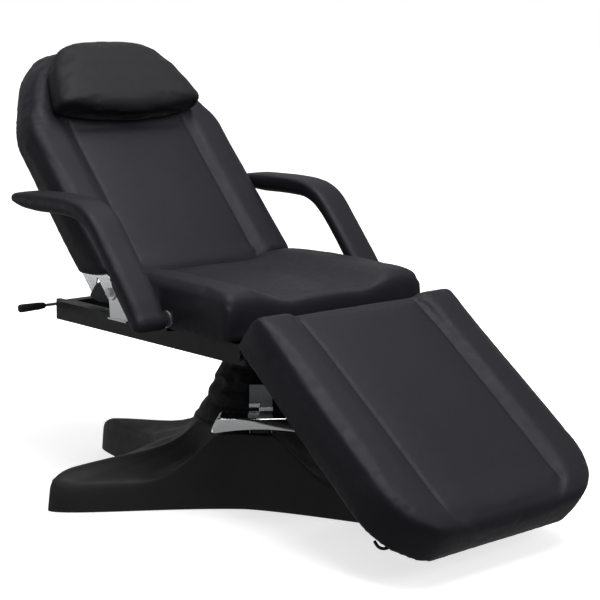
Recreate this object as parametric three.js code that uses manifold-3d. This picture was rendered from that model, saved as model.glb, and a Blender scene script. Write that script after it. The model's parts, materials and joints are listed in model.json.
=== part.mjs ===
// Facial treatment bed: hydraulic base with foot pump, turning frame, seat, reclining back with
// head cushion, lifting leg rest and two swing-up armrests.
// Millimetres, +Z up, floor at z = 0, origin on the floor under the column.
// The foot end points to -Y, the head end to +Y, and "near" is the -X side.
import * as THREE from "three";
import { mergeVertices } from "three/addons/utils/BufferGeometryUtils.js";
import Module from "manifold-3d";

const wasm = await Module();
wasm.setup();

// ---- driving dimensions -------------------------------------------------------------------
const GAP = 0.3;                    // air between pieces that touch
const FIT = 0.5;                    // radial clearance of a pin in its hole
const PAD_HALF = 310;               // half width of every pad

const RAIL = { outer: 279, width: 40, top: 437, bottom: 390, rear: 478, front: -266, wall: 2.5 };
const RAIL_INNER = RAIL.outer - RAIL.width;

const SEAT = { top: 550, bottom: 441.3, front: -242, rear: 236, rearFoot: 131 };
const BACK = { foot: [236.1, 552.2], lean: 47.16, thick: 88, cut: 66, start: -5, length: 690 };
const LEG = { head: [-340.5, 523.3], slope: 37.34, thick: 108, length: 636 };

const BACK_PIVOT = [230, 493];      // y, z of the back's hinge pins
const LEG_PIVOT = [-250, 412];      // y, z of the leg rest's hinge pins
const BOARD = 14;                   // plywood under each pad

const BASE_TURN = -50;              // degrees from +X to the long axis of the base
const PEDAL_TURN = 139.2;           // degrees from +Y to the pedal's direction
const DECK = 187;                   // height of the base cover's deck
const PUMP_RADIUS = 38;
const RAM_RADIUS = 24;

// ---- materials ----------------------------------------------------------------------------
const finish = (color, roughness, metalness) => () =>
  new THREE.MeshStandardMaterial({ color, roughness, metalness });
const leather = finish(0x303136, 0.5, 0.0);
const pillowLeather = finish(0x37373a, 0.5, 0.0);
const blackPaint = finish(0x24262b, 0.45, 0.3);
const coverPlastic = finish(0x2b2b2b, 0.4, 0.0);
const shroud = finish(0x2a2a2a, 0.6, 0.0);
const zinc = finish(0xc8cbd0, 0.3, 0.9);
const chrome = finish(0xd8dadd, 0.12, 1.0);
const rubber = finish(0x17171a, 0.8, 0.0);
const plywood = finish(0x2e2a27, 0.7, 0.0);

const bed = new THREE.Group();

// ---- solids -------------------------------------------------------------------------------
function bare(geometry) {
  const g = geometry.index ? geometry.toNonIndexed() : geometry.clone();
  g.deleteAttribute("normal");
  g.deleteAttribute("uv");
  return mergeVertices(g, 1e-4);
}

// The same surface with its faces pointing out.
function outward(geometry) {
  const g = bare(geometry);
  const p = g.attributes.position;
  const index = g.index.array;
  const [a, b, c] = [new THREE.Vector3(), new THREE.Vector3(), new THREE.Vector3()];
  let volume = 0;
  for (let i = 0; i < index.length; i += 3) {
    a.fromBufferAttribute(p, index[i]);
    b.fromBufferAttribute(p, index[i + 1]);
    c.fromBufferAttribute(p, index[i + 2]);
    volume += a.dot(b.cross(c));
  }
  if (volume < 0) {
    for (let i = 0; i < index.length; i += 3) {
      [index[i], index[i + 1]] = [index[i + 1], index[i]];
    }
  }
  return g;
}

function solid(geometry) {
  const g = outward(geometry);
  return new wasm.Manifold(new wasm.Mesh({
    numProp: 3,
    vertProperties: new Float32Array(g.attributes.position.array),
    triVerts: new Uint32Array(g.index.array),
  }));
}

function surface(manifold) {
  const mesh = manifold.getMesh();
  const g = new THREE.BufferGeometry();
  g.setAttribute("position", new THREE.BufferAttribute(new Float32Array(mesh.vertProperties), 3));
  g.setIndex(new THREE.BufferAttribute(new Uint32Array(mesh.triVerts), 1));
  return g;
}

function cut(body, ...tools) {
  return surface(tools.reduce((rest, tool) => rest.subtract(solid(tool)), solid(body)));
}

function join(first, ...others) {
  return surface(others.reduce((sum, piece) => sum.add(solid(piece)), solid(first)));
}

function add(name, geometry, material, group = bed) {
  const g = outward(geometry);
  g.computeVertexNormals();
  const mesh = new THREE.Mesh(g, material());
  mesh.name = name;
  group.add(mesh);
  return mesh;
}

// A box from its two opposite corners.
function block([x0, y0, z0], [x1, y1, z1]) {
  const g = new THREE.BoxGeometry(x1 - x0, y1 - y0, z1 - z0);
  return g.translate((x0 + x1) / 2, (y0 + y1) / 2, (z0 + z1) / 2);
}

// Corners as [a, b, radius]; a radius of 0 leaves the corner sharp.
function outline(corners) {
  const shape = new THREE.Shape();
  corners.forEach(([a, b, radius = 0], i) => {
    const here = new THREE.Vector2(a, b);
    const before = new THREE.Vector2(...corners.at(i - 1).slice(0, 2)).sub(here);
    const after = new THREE.Vector2(...corners[(i + 1) % corners.length].slice(0, 2)).sub(here);
    const start = here.clone().add(before.setLength(radius));
    const end = here.clone().add(after.setLength(radius));
    if (i === 0) shape.moveTo(start.x, start.y);
    else shape.lineTo(start.x, start.y);
    if (radius > 0) shape.quadraticCurveTo(a, b, end.x, end.y);
  });
  return shape;
}

function circle(a, b, radius) {
  return new THREE.Path().absarc(a, b, radius, 0, 2 * Math.PI);
}

// A sheet cut to an outline in the Y-Z plane, from x0 to x1.
function sheetX(shape, x0, x1, curveSegments = 4) {
  const g = new THREE.ExtrudeGeometry(shape, { depth: x1 - x0, bevelEnabled: false, curveSegments });
  const turn = new THREE.Matrix4().makeBasis(
    new THREE.Vector3(0, 1, 0), new THREE.Vector3(0, 0, 1), new THREE.Vector3(1, 0, 0));
  return g.applyMatrix4(turn).translate(x0, 0, 0);
}

// A round bar along X.
function barX(radius, x0, x1, y, z, sides = 20) {
  return new THREE.CylinderGeometry(radius, radius, x1 - x0, sides)
    .rotateZ(Math.PI / 2).translate((x0 + x1) / 2, y, z);
}

// A turned piece around Z, from its [radius, height] profile.
function turned(profile, sides = 36) {
  const points = profile.map(([r, h]) => new THREE.Vector2(r, h));
  return new THREE.LatheGeometry(points, sides).rotateX(Math.PI / 2);
}

// A closed skin over rings with the same number of points.
function loft(rings) {
  const count = rings[0].length;
  const positions = rings.flat(2);
  const index = [];
  const centre = (ring) => [0, 1, 2].map((k) => ring.reduce((sum, p) => sum + p[k], 0) / count);
  for (let r = 0; r < rings.length - 1; r += 1) {
    for (let i = 0; i < count; i += 1) {
      const a = r * count + i;
      const b = r * count + ((i + 1) % count);
      index.push(a, b, a + count, b, b + count, a + count);
    }
  }
  const first = rings.length * count;
  positions.push(...centre(rings[0]), ...centre(rings.at(-1)));
  const last = (rings.length - 1) * count;
  for (let i = 0; i < count; i += 1) {
    const next = (i + 1) % count;
    index.push(first, next, i, first + 1, last + i, last + next);
  }
  const g = new THREE.BufferGeometry();
  g.setAttribute("position", new THREE.Float32BufferAttribute(positions, 3));
  g.setIndex(index);
  return g;
}

const mirrored = (geometry) => outward(geometry.clone().scale(-1, 1, 1));
const radians = THREE.MathUtils.degToRad;

// A group whose local Y runs along a pad and whose local Z leaves its top face.
function padGroup([y, z], degrees) {
  const group = new THREE.Group();
  group.position.set(0, y, z);
  group.rotation.x = radians(degrees);
  bed.add(group);
  return group;
}
const back = padGroup(BACK.foot, BACK.lean);
const leg = padGroup(LEG.head, LEG.slope);

// A point of the bed's own frame in a pad group's local Y and Z.
function inGroup([y, z], [y0, z0], degrees) {
  const [c, s] = [Math.cos(radians(degrees)), Math.sin(radians(degrees))];
  return [(y - y0) * c + (z - z0) * s, (z - z0) * c - (y - y0) * s];
}
const backPivot = inGroup(BACK_PIVOT, BACK.foot, BACK.lean);
const legPivot = inGroup(LEG_PIVOT, LEG.head, LEG.slope);

// ---- pads ---------------------------------------------------------------------------------
// Height of a pad's top face: two side bolsters, a crease inside each, a low crown between.
const CREASE = 0.6;                 // place of the crease, as a share of the half width
function dish(share, depth) {
  const s = Math.abs(share);
  if (s <= CREASE) return -depth * (0.72 + 0.28 * (s / CREASE) ** 2);
  const rise = Math.min(1, (s - CREASE) / 0.2);
  return -depth * (1 - rise * rise * (3 - 2 * rise));
}

// One ring across a pad at y: its half width, top height, dish depth, the shear of its ends and
// how far its middle is pushed out.
function padRing({ y, half, top = 0, depth, shear = 0, bow = 0 }, thick) {
  const edge = 16;
  const shares = [0.9, 0.8, 0.7, 0.6, 0.4, 0.2, 0, -0.2, -0.4, -0.6, -0.7, -0.8, -0.9];
  const corner = [[0, -0.5], [0.08, -0.25], [0.32, -0.06]];
  const section = [[-half + 6, -thick], [half - 6, -thick], [half, -thick + 10]];
  corner.forEach(([dx, dz]) => section.push([half - dx * edge * 3, top + dz * edge * 2.4]));
  shares.forEach((share) => section.push([share * (half - 4), top + dish(share, depth)]));
  corner.toReversed().forEach(([dx, dz]) => {
    section.push([-half + dx * edge * 3, top + dz * edge * 2.4]);
  });
  section.push([-half, -thick + 10]);
  const push = (x) => bow * (1 - Math.min(1, Math.abs(x) / 260) ** 4);
  return section.map(([x, z]) => [x, y - shear * z + push(x), z]);
}

const pad = (stations, thick) => loft(stations.map((station) => padRing(station, thick)));

const backShear = BACK.cut / BACK.thick;
const backPad = pad([
  { y: BACK.start, half: 300, top: -8, depth: 7, shear: backShear, bow: -26 },
  { y: BACK.start + 10, half: 309, top: -1, depth: 10, shear: backShear * 0.96, bow: -26 },
  { y: 90, half: 310, depth: 13, shear: backShear * 0.4 },
  { y: 250, half: 310, depth: 13 },
  { y: 440, half: 309, depth: 13 },
  { y: 468, half: 298, depth: 13, shear: 0.08 },
  { y: 498, half: 283, depth: 12, shear: 0.12 },
  { y: 546, half: 257, depth: 11, shear: 0.16 },
  { y: 600, half: 225, depth: 10, shear: 0.24 },
  { y: 630, half: 200, depth: 9, shear: 0.32 },
  { y: 656, half: 164, depth: 8, shear: 0.4 },
  { y: 672, half: 140, top: -2, depth: 6, shear: 0.46 },
  { y: 683, half: 111, top: -7, depth: 4, shear: 0.5 },
  { y: BACK.length, half: 76, top: -16, depth: 2, shear: 0.52 },
], BACK.thick);

const legPad = pad([
  { y: 0, half: 302, top: -7, depth: 20 },
  { y: -8, half: 309, top: -1, depth: 22 },
  { y: -120, half: 311, depth: 15 },
  { y: -300, half: 316, depth: 13 },
  { y: -498, half: 318, depth: 13 },
  { y: -532, half: 313, depth: 11 },
  { y: -562, half: 300, depth: 9 },
  { y: -588, half: 284, depth: 6 },
  { y: -608, half: 262, top: -1, depth: 4 },
  { y: -625, half: 234, top: -5, depth: 2 },
  { y: -LEG.length, half: 200, top: -16, depth: 0 },
], LEG.thick);

const SEAT_THICK = SEAT.top - SEAT.bottom;
const seatShear = (SEAT.rearFoot - SEAT.rear) / SEAT_THICK;
const seatPad = pad([
  { y: SEAT.front, half: 300, top: -22, depth: 24 },
  { y: SEAT.front + 8, half: 309, top: -14, depth: 28 },
  { y: SEAT.front + 40, half: 310, top: -4, depth: 32 },
  { y: -60, half: 310, top: 3, depth: 34 },
  { y: 60, half: 310, top: 4, depth: 34, shear: seatShear * 0.3 },
  { y: 170, half: 310, top: -2, depth: 32, shear: seatShear * 0.75 },
  { y: 210, half: 309, top: -9, depth: 31, shear: seatShear * 0.92 },
  { y: SEAT.rear, half: 302, top: -20, depth: 22, shear: seatShear },
], SEAT_THICK).translate(0, 0, SEAT.top);

// A board with the pad's taper, sunk into a pocket of the same outline.
function boardShape(corners, grow) {
  const shape = corners.map(([half, y], i) => [half + grow, y + (i === 0 ? -grow : grow)]);
  const other = shape.map(([half, y]) => [-half, y]).reverse();
  return outline([...shape, ...other].map(([a, b]) => [a, b, 0]));
}

function board(corners, z0, z1, grow = 0) {
  const depth = z1 - z0;
  const g = new THREE.ExtrudeGeometry(boardShape(corners, grow), { depth, bevelEnabled: false });
  return g.translate(0, 0, z0);
}

const BACK_BOARD_LOW = -BACK.thick - 3;
const backBoardCorners = [[270, 72], [270, 450], [140, 640], [90, 668]];
add("back_board", board(backBoardCorners, BACK_BOARD_LOW, BACK_BOARD_LOW + BOARD), plywood, back);

const LEG_BOARD_LOW = -LEG.thick - 3;
const legBoardCorners = [[200, -600], [270, -500], [285, -12]];
add("leg_board", board(legBoardCorners, LEG_BOARD_LOW, LEG_BOARD_LOW + BOARD), plywood, leg);

const SEAT_BOARD_LOW = RAIL.top + 4.3;
const seatBoardCorners = [[285, -225], [285, 118]];
add("seat_board", board(seatBoardCorners, SEAT_BOARD_LOW, SEAT_BOARD_LOW + BOARD), plywood);

// The back's outer straps run up into a slot in the pad.
const STRAP = { x0: 284, x1: 288, wide: 38, reach: 110 };
const strapMiddle = backPivot[1] + 1;
const strapSlot = block(
  [STRAP.x0 - 0.6, -40, -BACK.thick + 11],
  [STRAP.x1 + 0.6, STRAP.reach + 0.6, strapMiddle + STRAP.wide / 2 + 0.6]);
add("back_cushion", cut(backPad,
  board(backBoardCorners, -BACK.thick - 20, BACK_BOARD_LOW + BOARD + GAP, GAP),
  strapSlot, mirrored(strapSlot)), leather, back);
add("leg_cushion", cut(legPad,
  board(legBoardCorners, -LEG.thick - 20, LEG_BOARD_LOW + BOARD + GAP, GAP)), leather, leg);
add("seat_cushion", cut(seatPad,
  board(seatBoardCorners, SEAT.bottom - 20, SEAT_BOARD_LOW + BOARD + GAP, GAP)), leather);

// The head cushion is a trapezium with soft edges and a bowed foot that lies on the back.
function cushionRing(y, half, low, high, bow) {
  const rim = [[1, 0.38], [0.985, 0.6], [0.93, 0.76], [0.78, 0.9], [0.4, 0.98], [0, 1]];
  const upper = [...rim, ...rim.slice(0, -1).reverse().map(([a, b]) => [-a, b])];
  const lower = [[-0.97, 0.12], [-0.9, 0], [0.9, 0], [0.97, 0.12]];
  return [...upper, ...lower].map(([a, b]) => [a * half, y + bow * a * a, low + b * (high - low)]);
}
const HEAD = { low: 1, high: 74, foot: 440, top: 690 };
add("head_cushion", loft([
  cushionRing(HEAD.foot, 196, HEAD.low + 12, HEAD.low + 43, 26),
  cushionRing(HEAD.foot + 9, 214, HEAD.low + 4, HEAD.low + 62, 23),
  cushionRing(HEAD.foot + 34, 226, HEAD.low, HEAD.high, 14),
  cushionRing(HEAD.foot + 86, 216, HEAD.low, HEAD.high, 4),
  cushionRing(HEAD.foot + 146, 196, HEAD.low, HEAD.high - 2, 0),
  cushionRing(HEAD.foot + 200, 164, HEAD.low, HEAD.high - 8, 0),
  cushionRing(HEAD.top - 24, 136, HEAD.low, HEAD.high - 16, -6),
  cushionRing(HEAD.top - 8, 104, HEAD.low + 4, HEAD.high - 26, -10),
  cushionRing(HEAD.top, 72, HEAD.low + 12, HEAD.high - 38, -8),
]), pillowLeather, back);

// ---- frame --------------------------------------------------------------------------------
// A square tube along Y, open at the front and closed at the rear.
function rail() {
  const { outer, top, bottom, rear, front, wall } = RAIL;
  const tube = block([RAIL_INNER, front, bottom], [outer, rear, top]);
  const bore = block(
    [RAIL_INNER + wall, front - 5, bottom + wall], [outer - wall, rear - wall, top - wall]);
  return cut(tube, bore, barX(6 + FIT, RAIL_INNER - 5, outer + 5, ...LEG_PIVOT));
}
add("rail_far", rail(), blackPaint);
add("rail_near", mirrored(rail()), blackPaint);

// An open box tube between the rails.
function crossTube(y0, y1, z0, z1) {
  const end = RAIL_INNER - GAP;
  const bore = block([-end - 5, y0 + RAIL.wall, z0 + RAIL.wall], [end + 5, y1 - RAIL.wall, z1 - RAIL.wall]);
  return cut(block([-end, y0, z0], [end, y1, z1]), bore);
}
add("cross_tube_rear", crossTube(RAIL.rear - 30, RAIL.rear, RAIL.bottom, RAIL.top), blackPaint);
add("cross_tube_mid_rear", crossTube(70, 100, RAIL.bottom + 7, RAIL.top), blackPaint);
add("cross_tube_mid_front", crossTube(-100, -70, RAIL.bottom + 7, RAIL.top), blackPaint);
add("cross_tube_front", crossTube(-222, -192, RAIL.bottom, RAIL.top), blackPaint);

const SWIVEL_PLATE = { low: 387, high: 396.7, half: 110 };
add("swivel_plate", block(
  [-SWIVEL_PLATE.half, -SWIVEL_PLATE.half, SWIVEL_PLATE.low],
  [SWIVEL_PLATE.half, SWIVEL_PLATE.half, SWIVEL_PLATE.high]), blackPaint);

// ---- hydraulic column ---------------------------------------------------------------------
const baseGroup = new THREE.Group();
baseGroup.rotation.z = radians(BASE_TURN);
bed.add(baseGroup);
const PLATE = { low: 3.3, high: 13 };
const FOOT = [[255, 120], [385, 180], [385, 238], [320, 238], [130, 180]];
// One quarter of the plate's outline, turned into all four.
function plateShape() {
  const half = [...FOOT, ...FOOT.toReversed().map(([l, w]) => [-l, w])];
  return outline([...half, ...half.toReversed().map(([l, w]) => [l, -w])]);
}
function plate(z0, z1) {
  return new THREE.ExtrudeGeometry(plateShape(), { depth: z1 - z0, bevelEnabled: false }).translate(0, 0, z0);
}
add("base_pad", plate(0, 3), rubber, baseGroup);
add("base_plate", plate(PLATE.low, PLATE.high), blackPaint, baseGroup);

add("pump_cylinder", turned([
  [0, PLATE.high + GAP], [70, PLATE.high + GAP], [70, 30], [PUMP_RADIUS, 34], [PUMP_RADIUS, 300],
  [RAM_RADIUS + FIT, 300], [RAM_RADIUS + FIT, 40], [0, 40],
]), zinc);
add("ram_rod", turned([[0, 44], [RAM_RADIUS, 44], [RAM_RADIUS, 358], [0, 358]], 28), chrome);
add("ram_bearing", turned([
  [0, 358 + GAP], [34, 358 + GAP], [70, 372], [70, SWIVEL_PLATE.low - GAP], [0, SWIVEL_PLATE.low - GAP],
]), zinc);

// A soft shroud with three tucks hides the column.
const SHROUD = [
  [150, 188], [132, 206], [124, 224], [129, 236], [121, 250], [103, 272], [108, 284], [103, 300],
  [88, 322], [93, 334], [88, 348], [76, 366],
];
const SHROUD_WALL = 2.5;
add("column_shroud", turned([
  ...SHROUD, ...SHROUD.toReversed().map(([r, h]) => [r - SHROUD_WALL, h]), SHROUD[0],
]), shroud);

// ---- base cover ---------------------------------------------------------------------------
// The footprint is a rectangle whose sides flare from a waist to rounded lobes at the corners.
const COVER = {
  long: 700, short: 435, longWaist: 275, shortWaist: 203, flare: 1.4, round: 5.4,
  edge: 60, tip: 84, end: 100, wall: 3, hem: 1.5, deckRadius: 196, mouth: 158,
};
// The angles, from the long axis, of the points round one quarter.
const QUARTER = [0, 10, 17, 22, 25.5, 28, 30, 32, 34, 36, 38.5, 41.5, 45, 49, 53, 58, 63, 69, 75, 82];
const half = [...QUARTER, 90, ...QUARTER.slice(1).toReversed().map((a) => 180 - a)];
const COVER_ANGLES = [...half, ...half.map((a) => a + 180)].map(radians);

function footprint(angle) {
  const [c, s] = [Math.abs(Math.cos(angle)), Math.abs(Math.sin(angle))];
  let radius = 300;
  for (let pass = 0; pass < 60; pass += 1) {
    const along = Math.min(1.15, (radius * c) / COVER.long) ** COVER.flare;
    const across = Math.min(1.15, (radius * s) / COVER.short) ** COVER.flare;
    const side = COVER.shortWaist + (COVER.short - COVER.shortWaist) * along;
    const end = COVER.longWaist + (COVER.long - COVER.longWaist) * across;
    const load = ((s / side) ** COVER.round + (c / end) ** COVER.round) ** (1 / COVER.round);
    radius += 0.5 * (1 / load - radius);
  }
  return radius;
}

const smooth = (t) => THREE.MathUtils.smoothstep(t, 0, 1);

// How high the wall stands: the deck's height in the middle of the long sides, low at the lobes.
function crest(angle) {
  const turn = (Math.atan2(Math.abs(Math.sin(angle)), Math.abs(Math.cos(angle))) * 180) / Math.PI;
  const front = (DECK - 4 - COVER.edge) * smooth((turn - 43) / 31);
  const tip = (COVER.tip - COVER.edge) * (1 - smooth((turn - 29) / 7));
  const end = (COVER.end - COVER.tip) * (1 - smooth((turn - 8) / 16));
  return COVER.edge + front + tip + end;
}

// Levels 0 to 1 climb the wall, 1 to 2 run in over the lobe to the deck, 3 is the mouth.
function coverRing(level, inset, drop) {
  return COVER_ANGLES.map((angle) => {
    const top = crest(angle);
    const share = Math.min(1, Math.max(0, level - 1));
    const rim = footprint(angle) - 8 * Math.min(level, 1) - inset;
    const deck = Math.min(COVER.deckRadius, rim - 4);
    const rise = 0.42 * share ** 0.65 + 0.58 * share ** 8;
    const height = level <= 1 ? top * level : top + (DECK - top) * rise;
    const reach = rim + (deck - rim) * share;
    const r = level > 2 ? COVER.mouth : reach;
    return [r * Math.cos(angle), r * Math.sin(angle), Math.max(COVER.hem, height) - drop];
  });
}
const coverLevels = [0, 0.86, 1.03, 1.12, 1.3, 1.55, 1.78, 1.92, 2, 3];
const outerSkin = coverLevels.map((level) => coverRing(level, 0, 0));
const innerSkin = coverLevels.map((level) => coverRing(level, COVER.wall, level > 0 ? COVER.wall : 0));
const coverShell = [...outerSkin, ...innerSkin.toReversed(), outerSkin[0]];

// A ring-shaped skin: the last ring meets the first one.
function ringLoft(rings) {
  const count = rings[0].length;
  const index = [];
  for (let r = 0; r < rings.length - 1; r += 1) {
    for (let i = 0; i < count; i += 1) {
      const a = r * count + i;
      const b = r * count + ((i + 1) % count);
      index.push(a, b, a + count, b, b + count, a + count);
    }
  }
  const g = new THREE.BufferGeometry();
  g.setAttribute("position", new THREE.Float32BufferAttribute(rings.flat(2), 3));
  g.setIndex(index);
  return g;
}
add("base_cover", ringLoft(coverShell), coverPlastic, baseGroup);

// ---- foot pump ----------------------------------------------------------------------------
const pump = new THREE.Group();
pump.rotation.z = radians(PEDAL_TURN);
bed.add(pump);
const PEDAL_PIVOT = [176, 208];     // distance from the column, height
const TOWER = { half: 27, rear: 160, front: 200, top: 306, mouth: 236, wall: 3 };

// A channel that opens towards the column, cut away below for the pedal's arm.
const tower = cut(
  block([-TOWER.half, TOWER.rear, DECK + 2], [TOWER.half, TOWER.front, TOWER.top]),
  block(
    [-TOWER.half + TOWER.wall, TOWER.rear - 5, DECK - 5],
    [TOWER.half - TOWER.wall, TOWER.front - TOWER.wall, TOWER.top - TOWER.wall]),
  block([-TOWER.half + TOWER.wall, TOWER.rear, DECK - 5], [TOWER.half - TOWER.wall, TOWER.front + 5, TOWER.mouth]),
  barX(4 + FIT, -TOWER.half - 5, TOWER.half + 5, ...PEDAL_PIVOT));
add("pump_tower", tower, zinc, pump);
add("pedal_pin", join(
  barX(4, -TOWER.half - 3, TOWER.half + 3, ...PEDAL_PIVOT),
  barX(7, -TOWER.half - 6, -TOWER.half - GAP, ...PEDAL_PIVOT),
  barX(7, TOWER.half + GAP, TOWER.half + 6, ...PEDAL_PIVOT)), chrome, pump);
const PLUNGER_Y = 188;
add("pump_plunger", new THREE.CylinderGeometry(6, 6, 66, 20)
  .rotateX(Math.PI / 2).translate(0, PLUNGER_Y, 262), chrome, pump);

const ARM_HALF = 19;
add("pedal_arm", cut(
  sheetX(outline([
    [164, 196, 8], [230, 206, 4], [300, 214, 3], [300, 226, 3], [236, 226, 4], [200, 228, 4], [164, 222, 8],
  ]), -ARM_HALF, ARM_HALF),
  barX(4 + FIT, -40, 40, ...PEDAL_PIVOT)), blackPaint, pump);

// The treadle: an inverted tray whose front apron is arched.
const TRAY = { rear: 214, front: 302, rearHalf: 103, frontHalf: 118, top: 247, low: 214, wall: 3.5 };
function trayBlock(inset, top, low) {
  const plan = outline([
    [-TRAY.rearHalf + inset, TRAY.rear + inset, 10], [TRAY.rearHalf - inset, TRAY.rear + inset, 10],
    [TRAY.frontHalf - inset, TRAY.front - inset, 16], [-TRAY.frontHalf + inset, TRAY.front - inset, 16],
  ]);
  const g = new THREE.ExtrudeGeometry(plan, { depth: top - low, bevelEnabled: false, curveSegments: 4 });
  return g.translate(0, 0, low);
}
const arch = new THREE.Shape();
arch.moveTo(-TRAY.frontHalf + 6, TRAY.low - 10);
arch.lineTo(-TRAY.frontHalf + 6, TRAY.low);
arch.quadraticCurveTo(0, TRAY.low + 26, TRAY.frontHalf - 6, TRAY.low);
arch.lineTo(TRAY.frontHalf - 6, TRAY.low - 10);
const archCut = new THREE.ExtrudeGeometry(arch, { depth: 60, bevelEnabled: false, curveSegments: 12 })
  .rotateX(Math.PI / 2).translate(0, TRAY.front + 30, 0);
const noseCut = sheetX(outline([
  [TRAY.front - 22, TRAY.top + 6], [TRAY.front + 6, TRAY.top + 6], [TRAY.front + 6, TRAY.top - 20],
]), -TRAY.frontHalf - 5, TRAY.frontHalf + 5);
const armSlot = block([-ARM_HALF - 1, TRAY.rear - 10, TRAY.low - 5], [ARM_HALF + 1, TRAY.rear + 20, 230]);
add("pedal_tray", cut(
  trayBlock(0, TRAY.top, TRAY.low), trayBlock(TRAY.wall, TRAY.top - TRAY.wall - 14, TRAY.low - 5),
  archCut, noseCut, armSlot), chrome, pump);

// ---- back hinge ---------------------------------------------------------------------------
function bothSides(name, make, material, group = bed) {
  add(`${name}_far`, make(), material, group);
  add(`${name}_near`, mirrored(make()), material, group);
}

// A plate on the rail's outer face carries the pivot pin and has a folded lip below.
const HINGE_PLATE = { x0: RAIL.outer + GAP, x1: RAIL.outer + 4.3 };
bothSides("hinge_plate", () => {
  const [py, pz] = BACK_PIVOT;
  const shape = outline([
    [164, 429, 2], [238, 429, 2], [241, 466, 8], [py + 16, pz - 8, 8], [py + 14, pz + 12, 10],
    [py - 10, pz + 14, 10], [py - 22, pz - 4, 8],
  ]);
  shape.holes.push(circle(py, pz, 6 + FIT));
  const lip = block([HINGE_PLATE.x0, 164, 426], [HINGE_PLATE.x1 + 7, 238, 430]);
  return join(sheetX(shape, HINGE_PLATE.x0, HINGE_PLATE.x1), lip);
}, zinc);

// Black arms inside the rails link the pins to the back's brackets.
const ARM = { x0: 231, x1: 236.7 };
bothSides("back_arm", () => {
  const [py, pz] = BACK_PIVOT;
  const shape = outline([
    [py - 18, pz + 8, 12], [py - 8, pz - 18, 14], [300, 452, 16], [352, 446, 10], [391, 456, 8],
    [364, 490, 14], [338, 502, 14], [290, 500, 20], [py + 8, pz + 19, 14],
  ]);
  shape.holes.push(circle(py, pz, 6 + FIT));
  return sheetX(shape, ARM.x0, ARM.x1);
}, blackPaint);

bothSides("back_pin", () => join(
  barX(6, ARM.x0 - 6, STRAP.x1 + 8, ...BACK_PIVOT),
  barX(11, STRAP.x1 + GAP, STRAP.x1 + 8, ...BACK_PIVOT, 6),
  barX(10, ARM.x1 + GAP, RAIL.outer, ...BACK_PIVOT),
  barX(10, ARM.x0 - 6, ARM.x0 - GAP, ...BACK_PIVOT, 6)), chrome);

// Outer straps rise from the pins beside the hinge plates and enter the pad.
bothSides("back_strap", () => {
  const [t, n] = [backPivot[0], strapMiddle];
  const half = STRAP.wide / 2;
  const shape = outline([
    [t - 18, n - half, 14], [STRAP.reach, n - half, 4], [STRAP.reach, n + half, 4], [t - 18, n + half, 14],
  ]);
  shape.holes.push(circle(...backPivot, 6 + FIT));
  return sheetX(shape, STRAP.x0, STRAP.x1);
}, zinc, back);

// Brackets behind the board: a flange on the board and a cheek bolted to the black arm.
const BRACKET = {
  x1: ARM.x0 - GAP, thick: 4, tab: 20, foot: 45, top: 136, high: BACK_BOARD_LOW - GAP, low: -172,
};
bothSides("back_bracket", () => {
  const cheek = sheetX(outline([
    [BRACKET.tab, BRACKET.low, 8], [BRACKET.top, BRACKET.low, 20], [BRACKET.top, BRACKET.high],
    [BRACKET.foot + 28, BRACKET.high], [BRACKET.foot, BRACKET.high - 50, 3],
    [BRACKET.tab, BRACKET.high - 58, 8],
  ]), BRACKET.x1 - BRACKET.thick, BRACKET.x1);
  const flange = block(
    [BRACKET.x1 - 34, BRACKET.foot + 28, BRACKET.high - BRACKET.thick],
    [BRACKET.x1, BRACKET.top, BRACKET.high]);
  return join(cheek, flange);
}, zinc, back);

const BACK_BAR = {
  end: BRACKET.x1 - BRACKET.thick - GAP, y0: 60, y1: 90, deep: 34,
  high: BRACKET.high - BRACKET.thick - GAP,
};
add("back_cross_bar", block(
  [-BACK_BAR.end, BACK_BAR.y0, BACK_BAR.high - BACK_BAR.deep],
  [BACK_BAR.end, BACK_BAR.y1, BACK_BAR.high]), blackPaint, back);

// ---- locks --------------------------------------------------------------------------------
// A band around a pivot with teeth on its outer edge, from toothFrom to "to" degrees.
function sectorShape([cy, cz], { radius, width, from, toothFrom, to, teeth, depth }) {
  const shape = new THREE.Shape();
  const at = (r, deg) => [cy + r * Math.cos(radians(deg)), cz + r * Math.sin(radians(deg))];
  const step = (to - toothFrom) / teeth;
  shape.moveTo(...at(radius - width, from));
  const plain = Math.max(1, Math.round((toothFrom - from) / 8));
  for (let k = 0; k < plain && toothFrom > from; k += 1) {
    shape.lineTo(...at(radius - depth, from + ((toothFrom - from) * k) / plain));
  }
  for (let k = 0; k < teeth; k += 1) {
    shape.lineTo(...at(radius - depth, toothFrom + k * step));
    shape.lineTo(...at(radius, toothFrom + (k + 0.5) * step));
  }
  shape.lineTo(...at(radius - depth, to));
  for (let k = 0; k < 10; k += 1) shape.lineTo(...at(radius - width, to - ((to - from) * k) / 10));
  return shape;
}
const LOCK_HALF = 4;                // half thickness of the toothed sectors

// The back's sector hangs from its cross bar and passes the pawl on the rear tube.
const backSector = {
  radius: 205, width: 26, from: -41 - BACK.lean, toothFrom: -41 - BACK.lean, to: 28 - BACK.lean,
  teeth: 23, depth: 5,
};
const spokeTop = BACK_BAR.high - BACK_BAR.deep - GAP;
const spoke = block([-LOCK_HALF, BACK_BAR.y0 + 2, spokeTop - 42], [LOCK_HALF, BACK_BAR.y1 - 2, spokeTop]);
add("back_sector", join(
  sheetX(sectorShape(backPivot, backSector), -LOCK_HALF, LOCK_HALF), spoke), zinc, back);

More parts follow.
